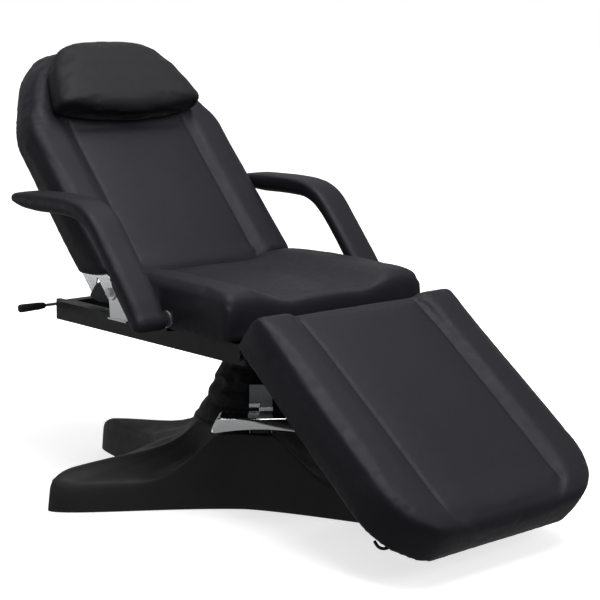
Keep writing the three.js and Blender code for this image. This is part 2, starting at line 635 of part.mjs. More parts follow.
const PAWL_PIN = 4;
const BACK_PAWL = { pivot: [437, 402], tip: [424.6, 424.5] };
add("back_pawl_bracket", join(
  block([6, 428, 392], [9, RAIL.rear - 30 - GAP, 414]),
  block([6, RAIL.rear - 33 - GAP, 392], [40, RAIL.rear - 30 - GAP, 430]),
  barX(PAWL_PIN, -7, 7, ...BACK_PAWL.pivot, 14)), zinc);
add("back_pawl", (() => {
  const [[py, pz], [ty, tz]] = [BACK_PAWL.pivot, BACK_PAWL.tip];
  const shape = outline([
    [py - 8, pz - 8, 7], [py + 8, pz - 8, 7], [py + 7, pz + 10, 3], [ty + 9, tz + 3, 3], [ty, tz],
    [py - 7, pz + 8, 3],
  ]);
  shape.holes.push(circle(py, pz, PAWL_PIN + FIT));
  return sheetX(shape, -LOCK_HALF, LOCK_HALF);
})(), blackPaint);

// ---- leg rest hinge -----------------------------------------------------------------------
bothSides("leg_arm", () => {
  const [t, n] = legPivot;
  const high = LEG_BOARD_LOW - GAP;
  const shape = outline([
    [t + 16, n - 14, 14], [t + 16, n + 14, 12], [t - 4, high, 4], [t - 280, high, 2],
    [t - 280, high - 14, 6], [t - 40, n - 14, 20],
  ]);
  shape.holes.push(circle(t, n, 6 + FIT));
  return sheetX(shape, ARM.x0, ARM.x1);
}, blackPaint, leg);
bothSides("leg_pin", () => join(
  barX(6, ARM.x0 - 8, RAIL.outer + 7, ...LEG_PIVOT),
  barX(11, RAIL.outer + GAP, RAIL.outer + 7, ...LEG_PIVOT, 6),
  barX(11, ARM.x0 - 8, ARM.x0 - GAP, ...LEG_PIVOT, 6)), blackPaint);

const LEG_BAR = { end: ARM.x0 - GAP, y0: -58, y1: -28, high: LEG_BOARD_LOW - GAP, deep: 24 };
add("leg_cross_bar", block(
  [-LEG_BAR.end, LEG_BAR.y0, LEG_BAR.high - LEG_BAR.deep],
  [LEG_BAR.end, LEG_BAR.y1, LEG_BAR.high]), blackPaint, leg);
const legSector = { radius: 80, width: 36, from: 212, toothFrom: 258, to: 302, teeth: 12, depth: 4 };
add("leg_sector", sheetX(sectorShape(LEG_PIVOT, legSector), -LOCK_HALF, LOCK_HALF), zinc);

const LEG_PAWL = { pivot: [-222, 316], tip: [-261.5, 330.4] };
add("leg_pawl_bracket", join(
  sheetX(outline([
    [-222, RAIL.bottom - GAP], [-230, 312, 8], [-212, 306, 8], [-194, RAIL.bottom - GAP],
  ]), 6, 9),
  block([6, -222, RAIL.bottom - 3.3], [34, -194, RAIL.bottom - GAP]),
  barX(PAWL_PIN, -7, 7, ...LEG_PAWL.pivot, 14)), zinc);
add("leg_pawl", (() => {
  const [[py, pz], [ty, tz]] = [LEG_PAWL.pivot, LEG_PAWL.tip];
  const shape = outline([
    [py + 8, pz - 8, 7], [py + 8, pz + 8, 7], [py - 10, pz + 8, 3], [ty, tz], [ty - 3, tz - 9, 3],
    [py - 8, pz - 8, 3],
  ]);
  shape.holes.push(circle(py, pz, PAWL_PIN + FIT));
  return sheetX(shape, -LOCK_HALF, LOCK_HALF);
})(), blackPaint);

// A round bar bent along points, with its two ends closed.
function bentBar(radius, points, steps, sides = 10) {
  const curve = new THREE.CatmullRomCurve3(points.map((p) => new THREE.Vector3(...p)), false, "centripetal");
  const section = new THREE.Shape().absarc(0, 0, radius, 0, 2 * Math.PI);
  return new THREE.ExtrudeGeometry(section, {
    steps, curveSegments: sides, bevelEnabled: false, extrudePath: curve,
  });
}
const RELEASE = { y: -572, z: LEG_BOARD_LOW - 6, out: -297, inner: -215, radius: 3.5, crank: 22 };
add("leg_release_lever", bentBar(RELEASE.radius, [
  [RELEASE.inner, RELEASE.y, RELEASE.z], [RELEASE.out + 40, RELEASE.y, RELEASE.z],
  [RELEASE.out + 8, RELEASE.y, RELEASE.z], [RELEASE.out, RELEASE.y + 7, RELEASE.z],
  [RELEASE.out, RELEASE.y + RELEASE.crank, RELEASE.z],
], 24), blackPaint, leg);
add("leg_release_clip", cut(
  block([-246, RELEASE.y - 9, RELEASE.z - 7], [-228, RELEASE.y + 9, LEG_BOARD_LOW - GAP]),
  barX(RELEASE.radius + FIT, -260, -220, RELEASE.y, RELEASE.z, 16)), zinc, leg);

// ---- recline lever ------------------------------------------------------------------------
const LEVER = { y: 490, z: 426, rod: 4, inner: -205, root: -306, tip: -383 };
add("recline_rod", barX(LEVER.rod, LEVER.root + GAP, LEVER.inner, LEVER.y, LEVER.z, 14), chrome);
const GRIP = [
  [0, 0], [6, 0], [7, 3], [7, 8], [8, 11], [8, 16], [9, 19], [9, 24], [9.7, 27], [10.6, 70], [8.5, 76.5], [0, 76.5],
];
add("recline_grip", turned(GRIP, 20).rotateY(-Math.PI / 2).translate(LEVER.root, LEVER.y, LEVER.z), rubber);
add("recline_bracket", cut(
  block([-262, RAIL.rear + GAP, 410], [-250, LEVER.y + 12, RAIL.top]),
  block([-270, LEVER.y - LEVER.rod - 1, LEVER.z - LEVER.rod - 18], [-240, LEVER.y + LEVER.rod + 1, LEVER.z + 6])),
blackPaint);

// ---- armrests -----------------------------------------------------------------------------
const ARMREST = { middle: 366, half: 46, inner: 320.3, pivot: [-32, 468], disc: 20 };
const CARRIER = { x0: 310.6, thick: 3, y0: -28, y1: 12, high: 484 };
const carrierSide = () => block(
  [CARRIER.x0, CARRIER.y0, RAIL.top + GAP], [CARRIER.x0 + CARRIER.thick, CARRIER.y1, CARRIER.high]);
add("armrest_carrier", join(
  block([-CARRIER.x0 - 1, CARRIER.y0, RAIL.top + GAP],
    [CARRIER.x0 + 1, CARRIER.y1, RAIL.top + GAP + CARRIER.thick]),
  carrierSide(), mirrored(carrierSide())), blackPaint);

bothSides("armrest_disc", () => barX(
  ARMREST.disc, CARRIER.x0 + CARRIER.thick + GAP, ARMREST.inner - GAP, ...ARMREST.pivot, 36), chrome);

// The padded arm follows a bent line: [y, z, half thickness] from its foot to its tip.
const ARM_LINE = [
  [-27, 455, 14], [-21, 466, 20], [-2, 500, 19], [34, 545, 17], [71, 590, 16], [104, 628, 16],
  [136, 664, 17], [152, 679, 18], [172, 692, 19], [205, 704, 20], [250, 708, 21], [310, 709, 21.5],
  [380, 707, 22], [430, 707, 20], [466, 708.5, 15], [486, 710, 8],
];
function armRing([y, z, thick], i) {
  const [y0, z0] = ARM_LINE[Math.max(0, i - 1)];
  const [y1, z1] = ARM_LINE[Math.min(ARM_LINE.length - 1, i + 1)];
  const run = Math.hypot(y1 - y0, z1 - z0);
  const [ny, nz] = [-(z1 - z0) / run, (y1 - y0) / run];
  const wide = (ARMREST.half - 0.4) * Math.min(1, 0.8 + thick / 95);
  const soft = (v, power) => Math.sign(v) * Math.abs(v) ** power;
  const ring = [];
  for (let k = 0; k < 16; k += 1) {
    const a = (2 * Math.PI * (k + 0.5)) / 16;
    const across = soft(Math.sin(a), 0.7) * thick;
    ring.push([ARMREST.middle + soft(Math.cos(a), 0.4) * wide, y + ny * across, z + nz * across]);
  }
  return ring;
}
bothSides("armrest", () => loft(ARM_LINE.map(armRing)), leather);

export default bed;
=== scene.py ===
import json
import math

import bmesh
import bpy
import numpy as np
from mathutils import Matrix, Vector, noise
from mathutils.bvhtree import BVHTree


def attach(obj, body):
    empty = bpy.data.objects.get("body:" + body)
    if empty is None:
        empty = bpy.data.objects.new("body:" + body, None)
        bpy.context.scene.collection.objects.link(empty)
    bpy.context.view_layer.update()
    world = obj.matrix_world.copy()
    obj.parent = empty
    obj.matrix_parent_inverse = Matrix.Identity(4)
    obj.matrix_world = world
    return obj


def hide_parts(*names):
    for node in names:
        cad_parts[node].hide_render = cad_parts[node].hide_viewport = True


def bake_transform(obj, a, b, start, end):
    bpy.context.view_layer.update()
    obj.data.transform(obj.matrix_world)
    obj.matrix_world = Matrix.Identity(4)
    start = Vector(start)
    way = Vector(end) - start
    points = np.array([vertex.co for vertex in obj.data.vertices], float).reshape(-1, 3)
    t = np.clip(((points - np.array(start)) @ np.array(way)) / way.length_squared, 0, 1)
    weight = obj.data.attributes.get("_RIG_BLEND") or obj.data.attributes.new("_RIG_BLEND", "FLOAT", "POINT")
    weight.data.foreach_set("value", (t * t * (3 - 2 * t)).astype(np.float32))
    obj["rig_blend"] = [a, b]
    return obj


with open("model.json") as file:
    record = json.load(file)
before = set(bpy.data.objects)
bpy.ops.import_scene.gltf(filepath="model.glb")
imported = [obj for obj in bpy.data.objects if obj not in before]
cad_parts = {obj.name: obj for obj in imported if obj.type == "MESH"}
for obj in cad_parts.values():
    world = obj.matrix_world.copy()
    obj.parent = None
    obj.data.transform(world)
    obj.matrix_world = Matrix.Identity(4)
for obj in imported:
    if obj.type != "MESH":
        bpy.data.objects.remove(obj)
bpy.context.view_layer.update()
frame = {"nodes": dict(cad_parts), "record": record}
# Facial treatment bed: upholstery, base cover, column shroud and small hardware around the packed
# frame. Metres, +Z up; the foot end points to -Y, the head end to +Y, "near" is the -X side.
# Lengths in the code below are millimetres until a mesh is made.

MM = 0.001
scene = bpy.context.scene


# ---- camera and light ---------------------------------------------------------------------
# Fitted to the photograph: azimuth, elevation and roll in degrees, lens in millimetres.
CAMERA_ANGLES = -42.08, 10.143, 0.489
CAMERA_PLACE = -2.68158, -3.11123, 1.20822
CAMERA_LENS = 102.11


def make_camera():
    azimuth, elevation, roll = (math.radians(a) for a in CAMERA_ANGLES)
    back = Vector((
        math.sin(azimuth) * math.cos(elevation), -math.cos(azimuth) * math.cos(elevation),
        math.sin(elevation)))
    right = Vector((math.cos(azimuth), math.sin(azimuth), 0))
    up = back.cross(right)
    across = math.cos(roll) * right + math.sin(roll) * up
    above = -math.sin(roll) * right + math.cos(roll) * up
    data = bpy.data.cameras.new("camera")
    data.sensor_width = 36
    data.lens = CAMERA_LENS
    data.clip_end = 60
    camera = bpy.data.objects.new("camera", data)
    turn = Matrix((across, above, back)).transposed().to_4x4()
    camera.matrix_world = Matrix.Translation(CAMERA_PLACE) @ turn
    scene.collection.objects.link(camera)
    scene.camera = camera


def softbox(name, place, size, power, aim=(0, 0, 0.4)):
    data = bpy.data.lights.new(name, "AREA")
    data.shape = "RECTANGLE"
    data.size, data.size_y = size
    data.energy = power
    light = bpy.data.objects.new(name, data)
    light.location = place
    light.rotation_euler = (Vector(aim) - Vector(place)).to_track_quat("-Z", "Y").to_euler()
    scene.collection.objects.link(light)
    return light


make_camera()
softbox("light_top", (0.1, -0.8, 3.6), (3.0, 3.0), 138)
softbox("light_front", (0.4, -4.2, 2.4), (2.6, 1.6), 30)
softbox("light_back", (2.0, 2.6, 3.6), (2.4, 1.8), 7)
# Only bright metal shows this one, as the pale gradient on the hinge plates.
glint = softbox("light_glint", (-2.3, 3.3, 0.5), (0.9, 0.9), 6, aim=(-0.3, 0.35, 0.45))
glint.visible_diffuse = glint.visible_camera = False
scene.view_settings.view_transform = "Standard"


def studio_world():
    """A dim room with a bright ceiling round the bed, seen against a plain white backdrop."""
    world = bpy.data.worlds.new("studio")
    world.use_nodes = True
    tree = world.node_tree
    room = tree.nodes["Background"]
    backdrop = tree.nodes.new("ShaderNodeBackground")
    backdrop.inputs["Color"].default_value = (1, 1, 1, 1)
    backdrop.inputs["Strength"].default_value = 1.0
    toward_front = tree.nodes.new("ShaderNodeVectorMath")
    toward_front.operation = "DOT_PRODUCT"
    toward_front.inputs[1].default_value = (-0.25, -0.28, -0.93)
    strength = tree.nodes.new("ShaderNodeMapRange")
    strength.interpolation_type = "SMOOTHSTEP"
    for socket, value in (("From Min", -0.9), ("From Max", 0.1), ("To Min", 0.36), ("To Max", 0.29)):
        strength.inputs[socket].default_value = value
    place = tree.nodes.new("ShaderNodeTexCoord").outputs["Generated"]
    tree.links.new(place, toward_front.inputs[0])
    tree.links.new(toward_front.outputs["Value"], strength.inputs["Value"])
    tree.links.new(strength.outputs["Result"], room.inputs["Strength"])
    room.inputs["Color"].default_value = (1, 1, 1, 1)
    both = tree.nodes.new("ShaderNodeMixShader")
    tree.links.new(tree.nodes.new("ShaderNodeLightPath").outputs["Is Camera Ray"], both.inputs[0])
    tree.links.new(room.outputs[0], both.inputs[1])
    tree.links.new(backdrop.outputs[0], both.inputs[2])
    tree.links.new(both.outputs[0], tree.nodes["World Output"].inputs["Surface"])
    scene.world = world


studio_world()


# ---- materials ----------------------------------------------------------------------------
class Paint:
    """A Principled material with helpers for its nodes, in object coordinates (metres)."""

    def __init__(self, name, roughness=0.5, metallic=0.0, **fixed):
        self.material = bpy.data.materials.new(name)
        self.material.use_nodes = True
        self.tree = self.material.node_tree
        self.shader = self.tree.nodes["Principled BSDF"]
        self.shader.inputs["Roughness"].default_value = roughness
        self.shader.inputs["Metallic"].default_value = metallic
        for socket, value in fixed.items():
            self.shader.inputs[socket.replace("_", " ")].default_value = value
        self.place = self.node("ShaderNodeTexCoord").outputs["Object"]
        self.height = None

    def node(self, kind, **settings):
        made = self.tree.nodes.new(kind)
        for name, value in settings.items():
            setattr(made, name, value)
        return made

    def join(self, source, target):
        self.tree.links.new(source, target)

    def stretched(self, scale):
        mapping = self.node("ShaderNodeMapping")
        mapping.inputs["Scale"].default_value = scale
        self.join(self.place, mapping.inputs["Vector"])
        return mapping.outputs["Vector"]

    def noise(self, scale, detail=3.0, rough=0.55, place=None):
        made = self.node("ShaderNodeTexNoise")
        made.inputs["Scale"].default_value = scale
        made.inputs["Detail"].default_value = detail
        made.inputs["Roughness"].default_value = rough
        self.join(place or self.place, made.inputs["Vector"])
        return made.outputs["Fac"]

    def cells(self, scale):
        made = self.node("ShaderNodeTexVoronoi", feature="SMOOTH_F1")
        made.inputs["Scale"].default_value = scale
        self.join(self.place, made.inputs["Vector"])
        return made.outputs["Distance"]

    def ramp(self, source, *stops):
        made = self.node("ShaderNodeValToRGB")
        elements = made.color_ramp.elements
        while len(elements) < len(stops):
            elements.new(0.5)
        for element, (at, color) in zip(elements, stops):
            element.position = at
            element.color = (*color, 1)
        self.join(source, made.inputs["Fac"])
        return made.outputs["Color"]

    def spread(self, source, low, high, start=0.3, end=0.7):
        made = self.node("ShaderNodeMapRange")
        for socket, value in zip(("From Min", "From Max", "To Min", "To Max"), (start, end, low, high)):
            made.inputs[socket].default_value = value
        self.join(source, made.inputs["Value"])
        return made.outputs["Result"]

    def mixed(self, one, other, share):
        made = self.node("ShaderNodeMix", data_type="RGBA", blend_type="MIX")
        self.join(share, made.inputs["Factor"])
        for socket, value in ((6, one), (7, other)):
            if isinstance(value, tuple):
                made.inputs[socket].default_value = (*value, 1)
            else:
                self.join(value, made.inputs[socket])
        return made.outputs[2]

    def paler_convex_edges(self, color, edge, amount=0.5):
        """The colour with a paler touch on convex edges."""
        geometry = self.node("ShaderNodeNewGeometry")
        share = self.spread(geometry.outputs["Pointiness"], 0.0, amount, 0.51, 0.6)
        return self.mixed(color, edge, share)

    def color(self, source):
        self.join(source, self.shader.inputs["Base Color"])

    def roughness(self, source):
        self.join(source, self.shader.inputs["Roughness"])

    def bump(self, source, distance, strength=1.0):
        made = self.node("ShaderNodeBump")
        made.inputs["Distance"].default_value = distance
        made.inputs["Strength"].default_value = strength
        self.join(source, made.inputs["Height"])
        if self.height is not None:
            self.join(self.height, made.inputs["Normal"])
        self.height = made.outputs["Normal"]
        self.join(self.height, self.shader.inputs["Normal"])


def leather(name, dark, pale, edge, roughness=(0.42, 0.54)):
    paint = Paint(name, Specular_IOR_Level=0.15, Sheen_Weight=0.015, Sheen_Roughness=0.4)
    cloudy = paint.noise(4, 3)
    tone = paint.ramp(cloudy, (0.25, dark), (0.75, pale))
    pores = paint.cells(820)
    grained = paint.mixed(tone, dark, paint.spread(pores, 0.0, 0.55, 0.25, 0.6))
    # Paler on convex edges, where the mesh's pointiness is high.
    paint.color(paint.paler_convex_edges(grained, edge, 0.35))
    paint.roughness(paint.spread(paint.noise(60, 3), *roughness))
    paint.bump(paint.noise(26, 3), 0.0006, 0.25)
    paint.bump(paint.noise(240, 4, 0.65), 0.0003, 0.3)
    paint.bump(pores, 0.00022, 0.55)
    return paint.material


def painted_steel(name, color, roughness=0.4):
    paint = Paint(name, Specular_IOR_Level=0.25)
    tone = paint.mixed(color, tuple(1.35 * c for c in color), paint.noise(12, 3))
    paint.color(tone)
    paint.roughness(paint.spread(paint.noise(40, 3), roughness - 0.05, roughness + 0.09))
    paint.bump(paint.noise(420, 2), 0.00012, 0.4)
    return paint.material


def bright_metal(name, color, roughness, streak, scratches=0.0):
    paint = Paint(name, roughness, metallic=1.0)
    drawn = paint.noise(1, 4, 0.6, paint.stretched(streak))
    tone = paint.mixed(color, tuple(0.82 * c for c in color), drawn)
    smudge = paint.noise(9, 4, 0.6)
    paint.color(paint.mixed(tone, tuple(0.9 * c for c in color), paint.spread(smudge, 0.0, 0.6)))
    paint.roughness(paint.spread(smudge, 0.75 * roughness, 1.5 * roughness))
    if scratches:
        paint.bump(drawn, 0.00008, scratches)
    return paint.material


def moulded_plastic(name, dark, pale, roughness):
    paint = Paint(name, Specular_IOR_Level=0.22)
    tone = paint.ramp(paint.noise(5, 4), (0.32, dark), (0.7, pale))
    scuffs = paint.spread(paint.noise(1, 5, 0.7, paint.stretched((34, 34, 5))), 0.0, 0.35, 0.62, 0.8)
    # Paler on convex edges, where the mesh's pointiness is high.
    paint.color(paint.paler_convex_edges(paint.mixed(tone, tuple(1.5 * c for c in pale), scuffs), (0.06, 0.06, 0.062)))
    paint.roughness(paint.spread(paint.noise(30, 3), roughness - 0.07, roughness + 0.08))
    paint.bump(paint.noise(14, 2), 0.0006, 0.2)
    paint.bump(paint.cells(700), 0.00012, 0.5)
    return paint.material


def shroud_fabric():
    paint = Paint("shroud_fabric", 0.62, Specular_IOR_Level=0.15, Sheen_Weight=0.03, Sheen_Roughness=0.5)
    around = paint.noise(1, 3, 0.5, paint.stretched((260, 260, 900)))
    tone = paint.ramp(paint.noise(10, 4), (0.3, (0.005, 0.005, 0.0053)), (0.7, (0.009, 0.009, 0.0093)))
    paint.color(paint.mixed(tone, (0.0035, 0.0035, 0.0035), paint.spread(around, 0.0, 0.5)))
    paint.roughness(paint.spread(paint.noise(80, 3), 0.5, 0.72))
    paint.bump(paint.noise(38, 4, 0.6), 0.0016, 0.6)
    paint.bump(around, 0.0003, 0.5)
    return paint.material


def rubber_compound():
    paint = Paint("rubber_compound", 0.75, Specular_IOR_Level=0.35)
    paint.color(paint.ramp(paint.noise(30, 4), (0.3, (0.007, 0.007, 0.0075)), (0.7, (0.014, 0.014, 0.014))))
    paint.roughness(paint.spread(paint.noise(90, 3), 0.6, 0.85))
    paint.bump(paint.noise(600, 2), 0.0001, 0.5)
    return paint.material


def ply():
    paint = Paint("black_stained_plywood", 0.6, Specular_IOR_Level=0.35)
    grain = paint.noise(1, 6, 0.62, paint.stretched((120, 7, 120)))
    tone = paint.ramp(
        grain, (0.28, (0.010, 0.009, 0.008)), (0.5, (0.018, 0.015, 0.013)), (0.72, (0.030, 0.025, 0.021)))
    paint.color(paint.mixed(tone, (0.012, 0.010, 0.009), paint.spread(paint.noise(5, 3), 0.0, 0.4)))
    paint.roughness(paint.spread(grain, 0.5, 0.72))
    paint.bump(grain, 0.0004, 0.5)
    return paint.material


FINISH = {
    "leather": leather(
        "black_faux_leather", (0.0112, 0.0104, 0.0142), (0.0150, 0.0140, 0.0188), (0.026, 0.0245, 0.031)),
    "pillow_leather": leather(
        "pillow_faux_leather", (0.0110, 0.0106, 0.0122), (0.0146, 0.0142, 0.0163), (0.028, 0.027, 0.031),
        (0.5, 0.6)),
    "black_paint": painted_steel("black_powder_coat", (0.0065, 0.0066, 0.0082)),
    "cover_plastic": moulded_plastic(
        "base_cover_plastic", (0.0165, 0.0165, 0.0166), (0.0225, 0.0225, 0.0226), 0.5),
    "shroud": shroud_fabric(),
    "zinc": bright_metal("zinc_plate", (0.72, 0.73, 0.75), 0.24, (60, 60, 900), 0.5),
    "chrome": bright_metal("polished_chrome", (0.83, 0.84, 0.85), 0.1, (50, 50, 500)),
    "rubber": rubber_compound(),
    "plywood": ply(),
}
SATIN_STEEL = bright_metal("satin_steel", (0.84, 0.85, 0.86), 0.36, (50, 50, 500))
# The pump tower's zinc, with its colour darkened to stand in for the dark surroundings it reflects: a painted
# reflection.
TOWER_ZINC_PAINTED_SHADE = bright_metal("zinc_painted_dark_reflection", (0.16, 0.165, 0.175), 0.22, (60, 60, 900), 0.3)
thread = Paint("stitching_thread", 0.7, Specular_IOR_Level=0.3, Sheen_Weight=0.1)
thread.color(thread.ramp(thread.noise(500, 2), (0.3, (0.012, 0.012, 0.013)), (0.7, (0.03, 0.03, 0.032))))
thread.bump(thread.noise(900, 2), 0.0002, 0.6)


# ---- mesh helpers -------------------------------------------------------------------------
def piece(name, points, faces, slot, body=None, material=None, smooth=True):
    """A mesh object from points in millimetres, with its faces turned outward."""
    mesh = bpy.data.meshes.new(name)
    mesh.from_pydata((np.asarray(points, float) * MM).tolist(), [], faces)
    work = bmesh.new()
    work.from_mesh(mesh)
    bmesh.ops.recalc_face_normals(work, faces=work.faces)
    work.to_mesh(mesh)
    work.free()
    mesh.polygons.foreach_set("use_smooth", [smooth] * len(mesh.polygons))
    mesh.materials.append(material or FINISH[slot])
    obj = bpy.data.objects.new(name, mesh)
    scene.collection.objects.link(obj)
    if body:
        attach(obj, body)
    return obj


def tube_faces(rings, count, closed=False, first=0):
    """Quads between neighbouring rings of count points each."""
    faces = []
    for r in range(rings if closed else rings - 1):
        here, there = first + r * count, first + ((r + 1) % rings) * count
        for i in range(count):
            j = (i + 1) % count
            faces.append((here + i, here + j, there + j, there + i))
    return faces


def capped(rings):
    """Points and faces of a closed skin over rings, with an n-gon at each end."""
    count = len(rings[0])
    faces = tube_faces(len(rings), count)
    last = (len(rings) - 1) * count
    faces += [tuple(range(count)), tuple(last + i for i in range(count))]
    return np.concatenate([np.asarray(r, float) for r in rings]), faces


def lathe(name, profile, slot, body, place, sides=48):
    """A piece turned about X from its [radius, along] profile; along runs towards -X."""
    rings = []
    for radius, along in profile:
        radius = max(radius, 0.02)
        ring = [(radius * math.cos(a), radius * math.sin(a), along)
                for a in np.linspace(0, 2 * math.pi, sides, endpoint=False)]
        rings.append(np.array(ring))
    points, faces = capped(rings)
    points = points[:, [2, 1, 0]] * (-1, 1, 1)
    return piece(name, points + np.array(place), faces, slot, body)


def modify(obj, kind, **settings):
    made = obj.modifiers.new(kind.lower(), kind)
    for name, value in settings.items():
        setattr(made, name, value)
    return made


def settle(obj):
    """The object's mesh with its modifiers applied."""
    graph = bpy.context.evaluated_depsgraph_get()
    fresh = bpy.data.meshes.new_from_object(obj.evaluated_get(graph))
    obj.modifiers.clear()
    obj.data = fresh
    fresh.polygons.foreach_set("use_smooth", [True] * len(fresh.polygons))


def coordinates(obj):
    flat = np.zeros(len(obj.data.vertices) * 3)
    obj.data.vertices.foreach_get("co", flat)
    return flat.reshape(-1, 3)


def set_coordinates(obj, points):
    obj.data.vertices.foreach_set("co", points.ravel())
    obj.data.update()


def normals(obj):
    flat = np.zeros(len(obj.data.vertices) * 3)
    obj.data.vertex_normals.foreach_get("vector", flat)
    return flat.reshape(-1, 3)


def ramp(t):
    t = np.clip(t, 0, 1)
    return t * t * (3 - 2 * t)


def rolling(points, size, depth, seed, along_normal):
    """Moves points along their normals by gentle noise: size and depth in millimetres."""
    shift = np.array([noise.noise(Vector(p) / (size * MM) + Vector((seed, 0, 0))) for p in points])
    return points + along_normal * (shift * depth * MM)[:, None]


# ---- the planes of the pads ---------------------------------------------------------------
class Plane:
    """A pad's own frame: t runs along it and n leaves its top face."""

    def __init__(self, foot, degrees):
        self.foot = foot
        self.c, self.s = math.cos(math.radians(degrees)), math.sin(math.radians(degrees))

    def world(self, points):
        x, t, n = np.asarray(points, float).T
        y, z = self.foot
        return np.stack([x, y + t * self.c - n * self.s, z + t * self.s + n * self.c], axis=1)

    def local(self, points):
        x, y, z = np.asarray(points, float).T
        y, z = y - self.foot[0], z - self.foot[1]
        return np.stack([x, y * self.c + z * self.s, z * self.c - y * self.s], axis=1)

    def out(self):
        return Vector((0, -self.s, self.c))


BACK = Plane((236.1, 552.2), 47.16)
LEG = Plane((-340.5, 523.3), 37.34)
SEAT = Plane((0, 550), 0)


# ---- upholstery ---------------------------------------------------------------------------
PAD_HALF = 300  # the half width that shares of a pad's width are measured against
SIDE_SWELL = 2.2
CLOTH_PRESSURE, CLOTH_BEND = 4.0, 4.0
CLOTH_FRAMES = 20


def dish(share, depth, inner, outer):
    """Height of a pad's top across its width: a shallow crown up to the share called inner, then a
    rise to the side bolsters, which start at the share called outer."""
    share = np.abs(share)
    inside = -depth * (0.8 + 0.2 * (share / inner) ** 2)
    return np.where(share <= inner, inside, -depth * (1 - ramp((share - inner) / (outer - inner))))


def pad_shell(stations, thick, edge, plane, ends, inner=0.595, outer=0.7, base=7):
    """A closed pad over stations [t, half width, top, dish depth, shear, bow].

    The sides are rounded by edge, the two ends by ends and the underside by base; the shear slants
    the ends and the bow pushes the middle out."""
    keys = np.array(stations, float)
    t = np.linspace(keys[0, 0], keys[-1, 0], 110)
    near_end = np.array([0, 1, 2.5, 4.5, 7.5, 11.5, 17])
    span = keys[-1, 0] - keys[0, 0]
    between = t[(t > keys[0, 0] + 20) & (t < keys[-1, 0] - 20)]
    t = np.concatenate([keys[0, 0] + near_end, between, keys[-1, 0] - near_end[::-1]])
    column = {}
    for k, name in enumerate(("half", "top", "depth", "shear", "bow")):
        value = np.interp(t, keys[:, 0], keys[:, k + 1])
        for _ in range(6):
            value[1:-1] = 0.25 * value[:-2] + 0.5 * value[1:-1] + 0.25 * value[2:]
        column[name] = value
    from_side = np.array([0, 1.2, 3, 5.5, 9, 13, 18, 24]) / PAD_HALF
    u = np.concatenate([-1 + from_side, np.linspace(-0.885, 0.885, 70), 1 - from_side[::-1]])
    grid_u, grid_t = np.meshgrid(u, t)
    half, top, depth, shear, bow = (column[k][:, None] * np.ones_like(grid_u) for k in
                                    ("half", "top", "depth", "shear", "bow"))
    side = (1 - np.abs(grid_u)) * half
    from_ends = (grid_t - keys[0, 0]) / ends[0], (keys[-1, 0] - grid_t) / ends[1]
    at_last = from_ends[1] < from_ends[0]
    a, b = np.clip(1 - side / edge, 0, 1), np.clip(1 - np.minimum(*from_ends), 0, 1)
    corner = np.minimum(1, np.hypot(a, b))
    end_radius = np.where(at_last, ends[1], ends[0])
    radius = (a * a * edge + b * b * end_radius) / np.maximum(a * a + b * b, 1e-6)
    drop = radius * (1 - np.sqrt(1 - corner ** 2))
    x = grid_u * half
    n = top + dish(grid_u, depth, inner, outer) * (1 - 0.5 * b) - drop

    def placed(x, t, n, shear, bow):
        push = bow * (1 - np.minimum(1, np.abs(x) / 260) ** 4)
        return np.stack([x, t - shear * n + push, n], axis=-1).reshape(-1, 3)

    rows, columns = grid_u.shape
    upper = placed(x, grid_t, n, shear, bow)
    rim = ([(0, i) for i in range(columns)] + [(r, columns - 1) for r in range(1, rows)]
           + [(rows - 1, i) for i in range(columns - 2, -1, -1)] + [(r, 0) for r in range(rows - 2, 0, -1)])
    rim = np.array(rim)
    at = rim[:, 0], rim[:, 1]
    middle_t = (keys[0, 0] + keys[-1, 0]) / 2
    rings = []
    top_n = n[at]
    for share in (0.12, 0.3, 0.5, 0.7, 0.88, 1.0):
        level = top_n + (-thick + base - top_n) * share
        swell = SIDE_SWELL * math.sin(math.pi * share)
        outward = np.sign(grid_t[at] - middle_t) * swell * (b[at] > 0)
        rings.append((x[at] * (1 + swell / PAD_HALF), grid_t[at] + outward, level))
    for share in (0.35, 0.7, 1.0):
        lower = -thick + base * (1 - math.sin(share * math.pi / 2))
        inset = base * (1 - math.cos(share * math.pi / 2))
        inward = np.sign(middle_t - grid_t[at]) * inset * (2 * inset / span + 0.2)
        rings.append((x[at] * (1 - inset / PAD_HALF), grid_t[at] + inward, np.full(len(rim), lower)))
    sides = [placed(rx, rt, rn, shear[at], bow[at]) for rx, rt, rn in rings]
    points = np.concatenate([upper, *sides])
    faces = [(r * columns + i, r * columns + i + 1, (r + 1) * columns + i + 1, (r + 1) * columns + i)
             for r in range(rows - 1) for i in range(columns - 1)]
    count, first = len(rim), rows * columns
    on_top = rim[:, 0] * columns + rim[:, 1]
    for i in range(count):
        j = (i + 1) % count
        faces.append((int(on_top[i]), int(on_top[j]), first + j, first + i))
    faces += tube_faces(len(sides), count, first=first)
    last = first + (len(sides) - 1) * count
    faces.append(tuple(last + i for i in range(count)))
    return plane.world(points), faces


